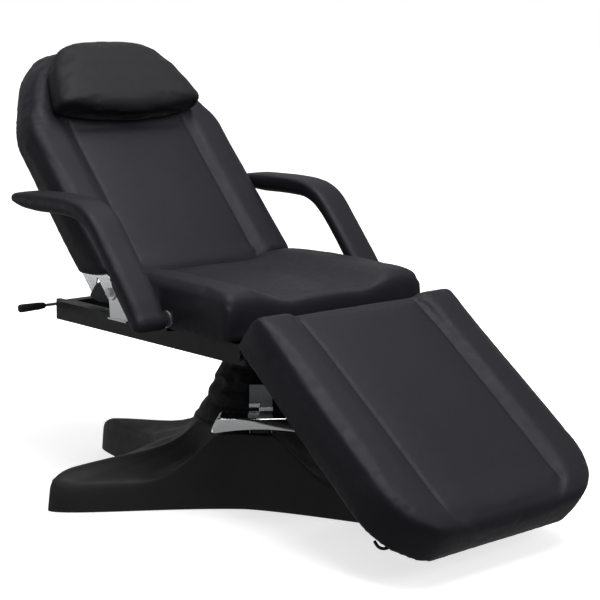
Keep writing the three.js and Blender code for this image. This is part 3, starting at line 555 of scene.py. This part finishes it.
def stuff(obj, voxel, cap, pinned):
    """Remeshes a closed pad evenly and lets its cover swell, by up to cap, as simulated cloth."""
    modify(obj, "REMESH", mode="VOXEL", voxel_size=voxel * MM, use_smooth_shade=True)
    settle(obj)
    modify(obj, "SMOOTH", factor=0.5, iterations=1)
    settle(obj)
    rest = coordinates(obj)
    group = obj.vertex_groups.new(name="held")
    weight = np.clip(pinned(rest / MM), 0, 1)
    for level in (1.0, 0.66, 0.33):
        chosen = np.nonzero(np.abs(weight - level) < 0.17)[0]
        group.add(chosen.tolist(), level, "REPLACE")
    cloth = modify(obj, "CLOTH").settings
    cloth.quality = 4
    cloth.mass = 0.3
    cloth.tension_stiffness = cloth.compression_stiffness = 18
    cloth.shear_stiffness = 6
    cloth.bending_stiffness = CLOTH_BEND
    cloth.use_pressure = True
    cloth.uniform_pressure_force = CLOTH_PRESSURE
    cloth.effector_weights.gravity = 0
    cloth.vertex_group_mass = "held"
    for number in range(1, CLOTH_FRAMES + 1):
        scene.frame_set(number)
    settle(obj)
    scene.frame_set(1)
    moved = coordinates(obj) - rest
    length = np.linalg.norm(moved, axis=1) / MM
    kept = cap * np.tanh(length / cap) / np.maximum(length, 1e-6)
    set_coordinates(obj, rest + moved * kept[:, None])
    obj.vertex_groups.clear()
    modify(obj, "SMOOTH", factor=0.4, iterations=1)
    modify(obj, "SUBSURF", levels=1, render_levels=1)
    settle(obj)


def cushion(name, shell, node, body, slot, voxel, cap, pinned, seed, shaped=None):
    """A stuffed cover in place of a node's plain solid; shaped adds its puckers and channels."""
    points, faces = shell
    obj = piece(name, points, faces, slot)
    stuff(obj, voxel, cap, pinned)
    base, out = coordinates(obj), normals(obj)
    soft = rolling(base, 170, 0.9, seed, out)
    soft = rolling(soft, 50, 0.25, seed + 7, out)
    if shaped:
        soft = soft + out * (shaped(base / MM) * MM)[:, None]
    set_coordinates(obj, soft)
    obj.data.materials.clear()
    obj.data.materials.append(FINISH[slot])
    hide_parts(node)
    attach(obj, body)
    return obj


def held_by(plane, low, crease_x=None, crease_t=None):
    """How firmly each point of a pad's cover is held: fully at its board and along its creases."""
    def weight(points):
        local = plane.local(points)
        below = 1 - ramp((local[:, 2] - low) / 22)
        if crease_x is None:
            return below
        at_crease = 1 - ramp((np.abs(np.abs(local[:, 0]) - crease_x) - 2) / 14)
        at_crease *= (local[:, 2] > low + 40) & (local[:, 1] > crease_t[0]) & (local[:, 1] < crease_t[1])
        return np.maximum(below, 0.9 * at_crease)
    return weight


def gathers(plane, low, channel=None, pitch=31, depth=0.35):
    """Small puckers where the cover is pulled round the lower edge of a pad, and sewn channels.

    channel is (distance from the middle, first t, last t, depth)."""
    def height(points):
        local = plane.local(points)
        near = np.exp(-((local[:, 2] - low - 12) / 16) ** 2)
        wave = np.sin(2 * math.pi * (local[:, 0] + 0.9 * local[:, 1]) / pitch) * 0.6
        wave = wave + np.sin(2 * math.pi * (local[:, 0] - 1.1 * local[:, 1]) / (pitch * 1.7) + 1) * 0.4
        moved = depth * near * wave
        if channel:
            at, first, last, deep = channel
            inside = ramp((local[:, 1] - first) / 25) * ramp((last - local[:, 1]) / 25)
            groove = np.exp(-((np.abs(local[:, 0]) - at) / 5.5) ** 2) * (local[:, 2] > -45)
            moved = moved - deep * groove * inside
        return moved
    return height


BACK_SHEAR = 0.75
back_stations = [
    (-17, 309, 0, 8, BACK_SHEAR, -26), (-6, 311, 0, 8, BACK_SHEAR * 0.98, -26),
    (60, 312, 0, 7, BACK_SHEAR * 0.55, -8), (90, 312, 0, 6, BACK_SHEAR * 0.4, 0),
    (250, 312, 0, 6, 0, 0), (440, 311, 0, 6, 0, 0), (468, 301, 0, 6, 0.08, 0), (498, 286, 0, 6, 0.12, 0),
    (546, 260, 0, 6, 0.16, 0), (600, 228, 0, 6, 0.24, 0), (630, 203, 0, 6, 0.32, 0), (656, 170, 0, 6, 0.4, 0),
    (672, 147, 0, 6, 0.46, 0), (685, 121, -1, 4, 0.5, 0), (694, 94, -2, 2, 0.52, 0),
]
back_cushion = cushion(
    "back_upholstery", pad_shell(back_stations, 88, 17, BACK, (9, 18)), "back_cushion", "backrest", "leather",
    7.5, 5, held_by(BACK, -88, 184, (30, 440)), 3, gathers(BACK, -88, (184, 4, 470, 2.6)))

leg_stations = [
    (-638, 214, -4, 0, 0, 0), (-627, 242, -2, 2, 0, 0), (-610, 268, -1, 4, 0, 0), (-590, 289, 0, 6, 0, 0),
    (-564, 304, 0, 7, 0, 0), (-534, 316, 0, 8, 0, 0), (-498, 321, 0, 8, 0, 0), (-300, 319, 0, 8, 0, 0),
    (-120, 314, 0, 10, 0, 0), (-30, 312, 0, 17, 0, 0), (2, 309, -1, 21, 0, 0),
]
leg_cushion = cushion(
    "leg_upholstery", pad_shell(leg_stations, 108, 15, LEG, (15, 15)), "leg_cushion", "leg_rest", "leather",
    7.5, 5, held_by(LEG, -108, 186, (-560, -30)), 11, gathers(LEG, -108, (185, -600, -8, 2.6)))

SEAT_SHEAR = (131 - 236) / 108.7
seat_stations = [
    (-245, 309, -8, 30, 0, 0), (-234, 312, -4, 33, 0, 0), (-200, 312, 0, 35, 0, 0), (-60, 312, 4, 36, 0, 0),
    (60, 312, 5, 36, SEAT_SHEAR * 0.3, 0), (160, 312, 2, 30, SEAT_SHEAR * 0.7, 0),
    (205, 311, 0, 22, SEAT_SHEAR * 0.9, 0), (240, 308, -2, 17, SEAT_SHEAR, 0),
]
cushion(
    "seat_upholstery", pad_shell(seat_stations, 108, 26, SEAT, (22, 9), 0.34, 0.74), "seat_cushion", "frame",
    "leather", 7.5, 5, held_by(SEAT, -108), 23, gathers(SEAT, -108))


# ---- head cushion -------------------------------------------------------------------------
def head_shell():
    """A trapezium with soft sides, a bowed foot and a flat underside that lies on the back."""
    stations = np.array([  # t, half width, low, high, bow of the foot
        (437, 204, 12, 42, 32), (440, 216, 6, 55, 29), (446, 224, 2, 64, 23), (458, 228, 1, 70, 13),
        (480, 229, 1, 73, 4), (526, 218, 1, 74, 1), (586, 197, 1, 73, 0), (640, 166, 1, 68, -2),
        (664, 141, 1, 62, -6), (680, 112, 4, 53, -9), (689, 84, 10, 40, -8)])
    t = np.concatenate([np.linspace(437, 486, 18), np.linspace(492, 660, 24), np.linspace(666, 689, 10)])
    half, low, high, bow = (np.interp(t, stations[:, 0], stations[:, k]) for k in range(1, 5))
    rings = []
    for k in range(len(t)):
        ring = []
        for angle in np.linspace(0, 2 * math.pi, 72, endpoint=False):
            c, s = math.cos(angle), math.sin(angle)
            across = math.copysign(abs(c) ** 0.3, c)
            up = math.copysign(abs(s) ** (0.5 if s > 0 else 0.3), s)
            middle = 0.42 * high[k] + 0.58 * low[k]
            reach = (high[k] - middle) if s > 0 else (middle - low[k])
            ring.append((across * half[k], t[k] + bow[k] * across ** 2, middle + up * reach))
        rings.append(np.array(ring))
    points, faces = capped(rings)
    return BACK.world(points), faces


def head_puckers(points):
    local = BACK.local(points)
    edge = np.exp(-((local[:, 2] - 20) / 14) ** 2)
    return 0.25 * edge * np.sin(2 * math.pi * (local[:, 0] * 0.8 + local[:, 1]) / 27)


cushion("head_upholstery", head_shell(), "head_cushion", "backrest", "pillow_leather",
        6, 3, lambda p: 1 - ramp((BACK.local(p)[:, 2] - 3) / 9), 31, head_puckers)


# ---- armrests -----------------------------------------------------------------------------
ARM_MIDDLE = 366  # distance of an armrest's middle from the bed's
ARM_PIVOT = -32, 468  # y and z of the chrome disc
ARM_LINE = np.array([  # y, z, half thickness, half width
    (-43, 449, 19.5, 46), (-27, 464, 20.5, 46), (-21, 470, 20, 46), (-2, 500, 19, 46),
    (34, 545, 17.5, 46), (71, 590, 16.5, 46), (104, 628, 16.5, 46), (136, 664, 17.5, 46),
    (152, 679, 18.5, 46), (172, 692, 19.5, 46), (205, 704, 20.5, 46), (250, 708, 21.5, 46),
    (310, 709, 22, 46), (380, 707, 22, 46), (430, 707, 20.5, 46), (462, 708.5, 15.5, 45),
    (478, 710, 11, 44), (489, 710.5, 8, 43),
])


def round_end(distance, radius):
    """Share of the full size at a distance from a rounded end."""
    return np.sqrt(np.clip(1 - (1 - np.minimum(1, distance / radius)) ** 2, 0.004, 1))


def arm_shell(sign):
    """A padded board bent along its line, with softly rounded edges and a round foot."""
    along = np.concatenate([[0], np.cumsum(np.hypot(*np.diff(ARM_LINE[:, :2], axis=0).T))])
    even = np.linspace(0, along[-1], 130)
    columns = []
    for k in range(4):
        value = np.interp(even, along, ARM_LINE[:, k])
        for _ in range(10):
            value[1:-1] = 0.25 * value[:-2] + 0.5 * value[1:-1] + 0.25 * value[2:]
        columns.append(value)
    fine = np.array([0, 0.6, 1.6, 3, 5, 7.5, 10.5, 14, 18])
    places = np.concatenate([fine, np.linspace(23, along[-1] - 23, 110), along[-1] - fine[::-1]])
    y, z, thick, wide = (np.interp(places, even, value) for value in columns)
    tail = along[-1] - places
    thick = thick * round_end(places, 20) * round_end(tail, 10)
    wide = wide - 13 * (1 - round_end(places, 13)) - 20 * (1 - round_end(tail, 20))
    run = np.stack([np.gradient(y, places), np.gradient(z, places)], axis=1)
    run /= np.linalg.norm(run, axis=1)[:, None]
    rings = []
    for k in range(len(places)):
        ring = []
        for angle in np.linspace(0, 2 * math.pi, 56, endpoint=False):
            c, s = math.cos(angle), math.sin(angle)
            across = math.copysign(abs(c) ** 0.36, c) * wide[k]
            up = math.copysign(abs(s) ** 0.58, s) * thick[k]
            ring.append((ARM_MIDDLE + across, y[k] - run[k, 1] * up, z[k] + run[k, 0] * up))
        rings.append(np.array(ring))
    points, faces = capped(rings)
    points[:, 0] *= sign
    return points, faces


def arm_pins(points):
    """Holds the inner side of the foot flat beside the disc; the rest of the cover may swell."""
    inner = 1 - ramp((np.abs(points[:, 0]) - 322) / 6)
    return inner * (np.hypot(points[:, 1] - ARM_PIVOT[0], points[:, 2] - ARM_PIVOT[1]) < 60)


for side, sign in (("far", 1), ("near", -1)):
    node = f"armrest_{side}"
    cushion(f"{node}_upholstery", arm_shell(sign), node, node, "leather", 6, 1.5, arm_pins, 41 + sign)


# ---- stitched creases ---------------------------------------------------------------------
SEAM = 184.5  # distance of the stitched creases from the middle


def beads(runs, radius, half_length):
    """Small capsules: each run is (centre, direction), both in metres."""
    points, faces = [], []
    for centre, direction in runs:
        first = len(points)
        side = direction.orthogonal().normalized()
        other = direction.cross(side).normalized()
        for share, width in ((-1, 0.35), (-0.6, 1), (0.6, 1), (1, 0.35)):
            for k in range(6):
                a = 2 * math.pi * k / 6
                p = (centre + direction * share * half_length * MM
                     + (side * math.cos(a) + other * math.sin(a)) * radius * MM * width)
                points.append(np.array(p) / MM)
        faces += tube_faces(4, 6, first=first)
        faces += [tuple(first + k for k in range(6)), tuple(first + 18 + k for k in range(6))]
    return points, faces


def stitches(name, target, plane, line, body, pitch=7.0):
    """Thread along a line of (x, t) points, laid on the target's surface."""
    tree = BVHTree.FromObject(target, bpy.context.evaluated_depsgraph_get())
    line = np.array(line, float)
    along = np.concatenate([[0], np.cumsum(np.hypot(*np.diff(line, axis=0).T))])
    places = np.arange(pitch / 2, along[-1], pitch)
    xt = np.stack([np.interp(places, along, line[:, k]) for k in (0, 1)], axis=1)
    found = []
    for x, t in xt:
        start = Vector(plane.world([(x, t, 60)])[0] * MM)
        found.append(tree.ray_cast(start, -plane.out())[0])
    runs = []
    for here, following in zip(found, found[1:]):
        if here and following:
            runs.append((here + plane.out() * 0.15 * MM, (following - here).normalized()))
    points, faces = beads(runs, 0.55, 2.4)
    return piece(name, points, faces, "leather", body, thread.material)


for side, x in (("far", SEAM), ("near", -SEAM)):
    stitches(f"back_stitching_{side}", back_cushion, BACK, [(x, 14), (x, 428)], "backrest")
    stitches(f"leg_stitching_{side}", leg_cushion, LEG, [(x, -592), (x, -26)], "leg_rest")


# ---- base cover ---------------------------------------------------------------------------
BASE_TURN = math.radians(-50)
DECK = 187
LONG, SHORT, LONG_WAIST, SHORT_WAIST = 700, 435, 275, 203
WALL_TOP_EDGE, LOBE_TIP, LOBE_END = 60, 84, 100
DECK_RADIUS, MOUTH = 164, 156
BULGE = 5.4  # exponent of the outline's rounded rectangle
FLARE = 1.4
SHELL = 3
# The two lobes on the photograph's left reach further than the symmetric outline: share, at degrees.
LONGER_LOBES = (0.05, 148), (0.014, 212)


def footprint(angle):
    """Radius of the cover's outline: a rectangle whose sides flare to rounded lobes."""
    c, s = np.abs(np.cos(angle)), np.abs(np.sin(angle))
    radius = np.full_like(angle, 300.0)
    for _ in range(60):
        along = np.minimum(1.15, radius * c / LONG) ** FLARE
        across = np.minimum(1.15, radius * s / SHORT) ** FLARE
        side = SHORT_WAIST + (SHORT - SHORT_WAIST) * along
        end = LONG_WAIST + (LONG - LONG_WAIST) * across
        load = ((s / side) ** BULGE + (c / end) ** BULGE) ** (1 / BULGE)
        radius += 0.5 * (1 / load - radius)
    turn = np.degrees(angle)
    return radius * (1 + sum(share * np.exp(-((turn - at) / 14) ** 2) for share, at in LONGER_LOBES))


def crest(angle):
    """Height of the wall: the deck's height at the long sides' middles, low at the lobes."""
    turn = np.degrees(np.arctan2(np.abs(np.sin(angle)), np.abs(np.cos(angle))))
    front = (DECK - 4 - WALL_TOP_EDGE) * ramp((turn - 43) / 31)
    tip = (LOBE_TIP - WALL_TOP_EDGE) * (1 - ramp((turn - 29) / 7))
    end = (LOBE_END - LOBE_TIP) * (1 - ramp((turn - 8) / 16))
    return WALL_TOP_EDGE + front + tip + end


def rounded(a, corner, b, count=6):
    """Points of a soft corner from a to b, for every angle at once."""
    steps = np.linspace(0, 1, count)
    return [(1 - s) ** 2 * a + 2 * s * (1 - s) * corner + s * s * b for s in steps]


def base_cover():
    angle = np.linspace(0, 2 * math.pi, 420, endpoint=False)
    outer = footprint(angle)
    top = crest(angle)
    rim = outer - 8
    deck = np.minimum(DECK_RADIUS, rim - 4)

    def wall(share):
        return np.stack([outer - 8 * share, 1.5 + (top - 1.5) * share], axis=1)

    def lobe(share):
        rise = 0.45 * share ** 0.65 + 0.55 * share ** 7
        return np.stack([rim + (deck - rim) * share, top + (DECK - top) * rise], axis=1)

    lobed = np.clip((outer - 330) / 150, 0, 1)
    before = 1 - (7 + 17 * lobed) / np.maximum(top, 30)
    profile = [wall(s * before) for s in (0, 0.02, 0.15, 0.32, 0.49, 0.66, 0.82, 0.94)]
    profile += rounded(wall(before), wall(1.0), lobe(0.035 + 0.05 * lobed))
    profile += [lobe(s) for s in (
        0.1, 0.125, 0.16, 0.21, 0.28, 0.36, 0.45, 0.55, 0.65, 0.74, 0.82, 0.88, 0.93, 0.97)]
    flat = [np.stack([deck + (MOUTH - deck) * s, np.full_like(deck, DECK)], axis=1) for s in (0.1, 0.5, 1)]
    profile += [np.stack([deck, np.full_like(deck, DECK)], axis=1), *flat]
    inner = [np.stack([np.full_like(deck, MOUTH), np.full_like(deck, DECK - SHELL)], axis=1)]
    inner += [lobe(s) - SHELL for s in (1, 0.9, 0.7, 0.45, 0.2, 0.05)]
    inner += [np.maximum((0, 1.5), wall(s) - SHELL) for s in (0.95, 0.5, 0)]
    turned = angle + BASE_TURN
    rings = [np.stack([p[:, 0] * np.cos(turned), p[:, 0] * np.sin(turned), p[:, 1]], axis=1)
             for p in profile + inner]
    cover = piece("base_cover_shell", np.concatenate(rings), tube_faces(len(rings), len(angle), closed=True),
                  "cover_plastic", "base")
    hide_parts("base_cover")


base_cover()


# ---- column shroud ------------------------------------------------------------------------
def shroud():
    """A soft fabric sleeve with sagging tucks; it stretches as the column rises."""
    profile = np.array([  # radius, height
        (161, 187.3), (159, 189), (157, 192), (153, 200), (148, 208), (143, 216), (138, 222), (132, 227),
        (129, 232), (129, 240), (128, 248), (124, 256), (117, 265), (113, 273), (112, 280), (111, 288),
        (107, 296), (103, 303), (98, 311), (94, 319), (92, 328), (90, 338), (85, 350), (79, 359), (76, 366)])
    along = np.concatenate([[0], np.cumsum(np.hypot(*np.diff(profile, axis=0).T))])
    angle = np.linspace(0, 2 * math.pi, 220, endpoint=False)
    rings = []
    for place in np.linspace(0, along[-1], 96):
        radius, z = (np.interp(place, along, profile[:, k]) for k in (0, 1))
        free = ramp((z - 189) / 22) * (1 - ramp((z - 350) / 14))
        ring = []
        for a in angle:
            c, s = math.cos(a), math.sin(a)
            fold = 1 - abs(noise.noise(Vector((c * 2.1, s * 2.1, z / 24)))) * 2.2
            sag = noise.noise(Vector((c * 4.3, s * 4.3, z / 60 + 9)))
            r = radius + free * (2.2 * fold + 2.0 * sag)
            ring.append((r * c, r * s, z))
        rings.append(np.array(ring))
    inner = [r * np.array([0.985, 0.985, 1]) for r in rings[::-1]]
    obj = piece("column_shroud_fabric", np.concatenate(rings + inner),
                tube_faces(len(rings) * 2, len(angle), closed=True), "shroud")
    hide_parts("column_shroud")
    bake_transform(obj, "base", "lift", (0, 0, 0.19), (0, 0, 0.36))


shroud()


# ---- pedal --------------------------------------------------------------------------------
PEDAL_TURN = math.radians(139.2)


def turn_pump(points):
    """From the pump's own frame, whose y points away from the column, to the bed's."""
    x, y, z = np.asarray(points, float).T
    c, s = math.cos(PEDAL_TURN), math.sin(PEDAL_TURN)
    return np.stack([x * c - y * s, x * s + y * c, z], axis=1)


def rounded_plan(rear, front, rear_half, front_half, radius, count=9):
    """The outline of a tray seen from above, with rounded corners."""
    corners = [(-rear_half, rear), (rear_half, rear), (front_half, front), (-front_half, front)]
    loop = []
    for k, here in enumerate(corners):
        here, before, after = (np.array(corners[i % 4], float) for i in (k, k - 1, k + 1))
        start = here + (before - here) / np.linalg.norm(before - here) * radius
        end = here + (after - here) / np.linalg.norm(after - here) * radius
        side = np.linspace(0, 1, 14)[1:-1]
        for s in np.linspace(0, 1, count):
            loop.append((1 - s) ** 2 * start + 2 * s * (1 - s) * here + s * s * end)
        following = after + (here - after) / np.linalg.norm(here - after) * radius
        loop += [end + (following - end) * s for s in side]
    return np.array(loop)


def pedal():
    """The treadle: a pressed chrome tray that widens downwards, with an arched apron."""
    low, high, wall = 214.5, 246.6, 2.2
    levels = [(1.0, 0), (0.99, 0.04), (0.93, 0.16), (0.84, 0.3), (0.72, 0.44), (0.55, 0.62), (0.35, 0.8),
              (0.15, 0.93), (0.04, 0.985), (0, 1)]

    def ring(share, spread, inset):
        plan = rounded_plan(216 + inset, 288 + 12 * spread - inset, 92 + 17 * spread - inset,
                            99 + 17 * spread - inset, 15 - min(inset, 6))
        front = ramp((plan[:, 1] - 262) / 22)
        arch = front * 9 * np.clip(1 - (plan[:, 0] / 104) ** 2, 0, 1)
        height = low + arch + (high - inset * 0.9 - low - arch) * share
        return np.column_stack([plan, height])

    outer = [ring(share, spread, 0) for share, spread in levels[::-1]]
    lid = [ring(1.0, 0, k) + np.array([0, 0, k * 0.9 + d])
           for k, d in ((1.5, 0.25), (4, 0.3), (8, -0.6), (11, -1.6))]
    under = [ring(share, spread, wall) for share, spread in levels]
    count = len(outer[0])
    points = np.concatenate(outer + lid + under)
    faces = tube_faces(len(outer) + len(lid), count)
    lid_end = (len(outer) + len(lid) - 1) * count
    faces.append(tuple(lid_end + i for i in range(count)))
    first = lid_end + count
    faces += tube_faces(len(under), count, first=first)
    faces.append(tuple(first + i for i in range(count)))
    last = first + (len(under) - 1) * count
    for i in range(count):
        j = (i + 1) % count
        faces.append((i, j, last + j, last + i))
    tray = piece("pedal_tray_pressed", turn_pump(points), faces, "chrome", "pedal")
    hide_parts("pedal_tray")


pedal()


# ---- recline grip -------------------------------------------------------------------------
def grip():
    """A ribbed rubber handle that thickens to its rounded end."""
    profile = [(4.3, 0), (6.2, 0.4), (7.2, 1.6)]
    for k in range(5):
        along = 3 + k * 4.6
        width = 7.2 + k * 0.45
        profile += [(width, along), (width + 0.9, along + 0.8), (width + 0.9, along + 2.4),
                    (width, along + 3.3)]
    profile += [(9.4, 28), (9.9, 42), (10.4, 60), (10.6, 69), (10.2, 72.6), (9.0, 75.2), (6.6, 76.4),
                (0, 76.6)]
    obj = lathe("recline_grip_moulded", profile, "rubber", "recline_lever", (-306, 490, 426))
    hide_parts("recline_grip")


grip()


# ---- small hardware -----------------------------------------------------------------------
def pump_lips():
    """The two bright folded lips low on the front of the pump's frame."""
    for side, (x0, y0, z0), (x1, y1, z1) in (
            ("left", (2, 200.2, 252), (27.5, 206, 262)), ("right", (-28.5, 200.2, 243), (4, 207.5, 253))):
        section = (y0, z0), (y1 - 1, z0 - 1.5), (y1, z0 + 1), (y1 - 2, z1), (y0, z1)
        points, faces = capped([[(x, y, z) for y, z in section] for x in (x0, x1)])
        lip = piece(f"pump_lip_{side}", turn_pump(points), faces, "zinc", "base", smooth=False)
        modify(lip, "BEVEL", width=0.8 * MM, segments=2)


pump_lips()


def rail_plugs():
    """Moulded end caps in the open front ends of the rails."""
    for side, sign in (("far", 1), ("near", -1)):
        x0, x1, z0, z1 = 239.6, 278.4, 390.6, 436.4
        rings = []
        for y, inset in ((-265.7, 0), (-268.6, 0), (-269.8, 1.2), (-270.2, 3)):
            half = (x1 - x0) / 2 - inset
            plan = rounded_plan(z0 + inset, z1 - inset, half, half, 3, 5)
            rings.append(np.column_stack([plan[:, 0] + (x0 + x1) / 2, np.full(len(plan), y), plan[:, 1]]))
        points, faces = capped(rings)
        points[:, 0] *= sign
        piece(f"rail_plug_{side}", points, faces, "rubber", "frame")


def screws(name, plane, places, n, body, radius=5.0):
    """Domed screw heads on the underside of a board."""
    points, faces = [], []
    for x, t in places:
        rings = []
        for share, drop in ((1, 0), (1, 0.8), (0.86, 1.7), (0.6, 2.4), (0.34, 2.7), (0.3, 2.0), (0.12, 1.5)):
            rings.append(np.array([
                (x + radius * share * math.cos(a), t + radius * share * math.sin(a), n - drop)
                for a in np.linspace(0, 2 * math.pi, 16, endpoint=False)]))
        more, more_faces = capped(rings)
        faces += [tuple(i + len(points) for i in face) for face in more_faces]
        points += more.tolist()
    piece(name, plane.world(points), faces, "zinc", body)


rail_plugs()
screws("back_board_screws", BACK, [(s * x, t) for s in (1, -1) for x, t in (
    (208, 108), (208, 126), (218, 225), (218, 420), (120, 600), (120, 90), (120, 380))], -91.1, "backrest")
screws("leg_board_screws", LEG, [(s * x, t) for s in (1, -1) for x, t in (
    (262, -40), (262, -300), (250, -480), (110, -560), (110, -300), (110, -80))], -111.1, "leg_rest")


# ---- carried CAD nodes --------------------------------------------------------------------
ROUND = {  # bevel width in millimetres for nodes whose edges show
    "rail_far": 2.0, "rail_near": 2.0, "cross_tube_rear": 1.6, "cross_tube_mid_rear": 1.6,
    "cross_tube_mid_front": 1.6, "cross_tube_front": 1.6, "swivel_plate": 1.2, "armrest_carrier": 0.8,
    "armrest_disc_far": 2.4, "armrest_disc_near": 2.4, "hinge_plate_far": 0.7, "hinge_plate_near": 0.7,
    "back_strap_far": 0.8, "back_strap_near": 0.8, "back_bracket_far": 0.7, "back_bracket_near": 0.7,
    "back_arm_far": 0.8, "back_arm_near": 0.8, "leg_arm_far": 0.8, "leg_arm_near": 0.8, "pump_tower": 0.7,
    "back_cross_bar": 1.5, "leg_cross_bar": 1.5, "pedal_arm": 1.5, "base_plate": 1.0, "base_pad": 0.6,
    "back_board": 0.8, "leg_board": 0.8, "seat_board": 0.8, "back_pin_far": 0.8, "back_pin_near": 0.8,
    "leg_pin_far": 0.8, "leg_pin_near": 0.8, "pedal_pin": 0.5, "back_sector": 0.4, "leg_sector": 0.4,
    "recline_bracket": 0.6, "leg_release_clip": 0.5,
}
OWN_FINISH = {
    "pump_tower": TOWER_ZINC_PAINTED_SHADE, "armrest_disc_far": SATIN_STEEL, "armrest_disc_near": SATIN_STEEL,
    "recline_rod": SATIN_STEEL,
}
slots = {part["node"]: part["material_slot"] for part in frame["record"]["subparts"]}
for name, obj in frame["nodes"].items():
    if obj.hide_render:
        continue
    material = OWN_FINISH.get(name, FINISH[slots[name]])
    if obj.material_slots:
        for holder in obj.material_slots:
            holder.material = material
    else:
        obj.data.materials.append(material)
    obj.data.polygons.foreach_set("use_smooth", [True] * len(obj.data.polygons))
    attributes = obj.data.attributes
    sharp = attributes.get("sharp_edge") or attributes.new("sharp_edge", "BOOLEAN", "EDGE")
    work = bmesh.new()
    work.from_mesh(obj.data)
    flags = [len(e.link_faces) != 2 or e.calc_face_angle(0) > math.radians(33) for e in work.edges]
    work.free()
    sharp.data.foreach_set("value", flags)
    if name in ROUND:
        modify(obj, "BEVEL", width=ROUND[name] * MM, segments=2, limit_method="ANGLE",
               angle_limit=math.radians(40), harden_normals=False, use_clamp_overlap=True)


# ---- stage --------------------------------------------------------------------------------
def floor():
    """A pale floor that fades into the white backdrop with distance from the bed."""
    mesh = bpy.data.meshes.new("floor")
    mesh.from_pydata([(-30, -30, 0), (30, -30, 0), (30, 30, 0), (-30, 30, 0)], [], [(0, 1, 2, 3)])
    paint = Paint("pale_floor", 0.8, Specular_IOR_Level=0.0)
    paint.color(paint.ramp(paint.noise(1.5, 2), (0.3, (0.8, 0.8, 0.8)), (0.7, (0.82, 0.82, 0.82))))
    tree = paint.material.node_tree
    gap = tree.nodes.new("ShaderNodeVectorMath")
    gap.operation = "LENGTH"
    tree.links.new(tree.nodes.new("ShaderNodeTexCoord").outputs["Object"], gap.inputs[0])
    glow = tree.nodes.new("ShaderNodeMapRange")
    glow.interpolation_type = "SMOOTHSTEP"
    for socket, value in (("From Min", 0.8), ("From Max", 2.4), ("To Min", 0.68), ("To Max", 1.0)):
        glow.inputs[socket].default_value = value
    tree.links.new(gap.outputs["Value"], glow.inputs["Value"])
    tree.links.new(glow.outputs["Result"], paint.shader.inputs["Emission Strength"])
    paint.shader.inputs["Emission Color"].default_value = (1, 1, 1, 1)
    mesh.materials.append(paint.material)
    obj = bpy.data.objects.new("floor", mesh)
    scene.collection.objects.link(obj)
    obj.visible_diffuse = obj.visible_glossy = False  # its bounce would wash out the dark sides


floor()
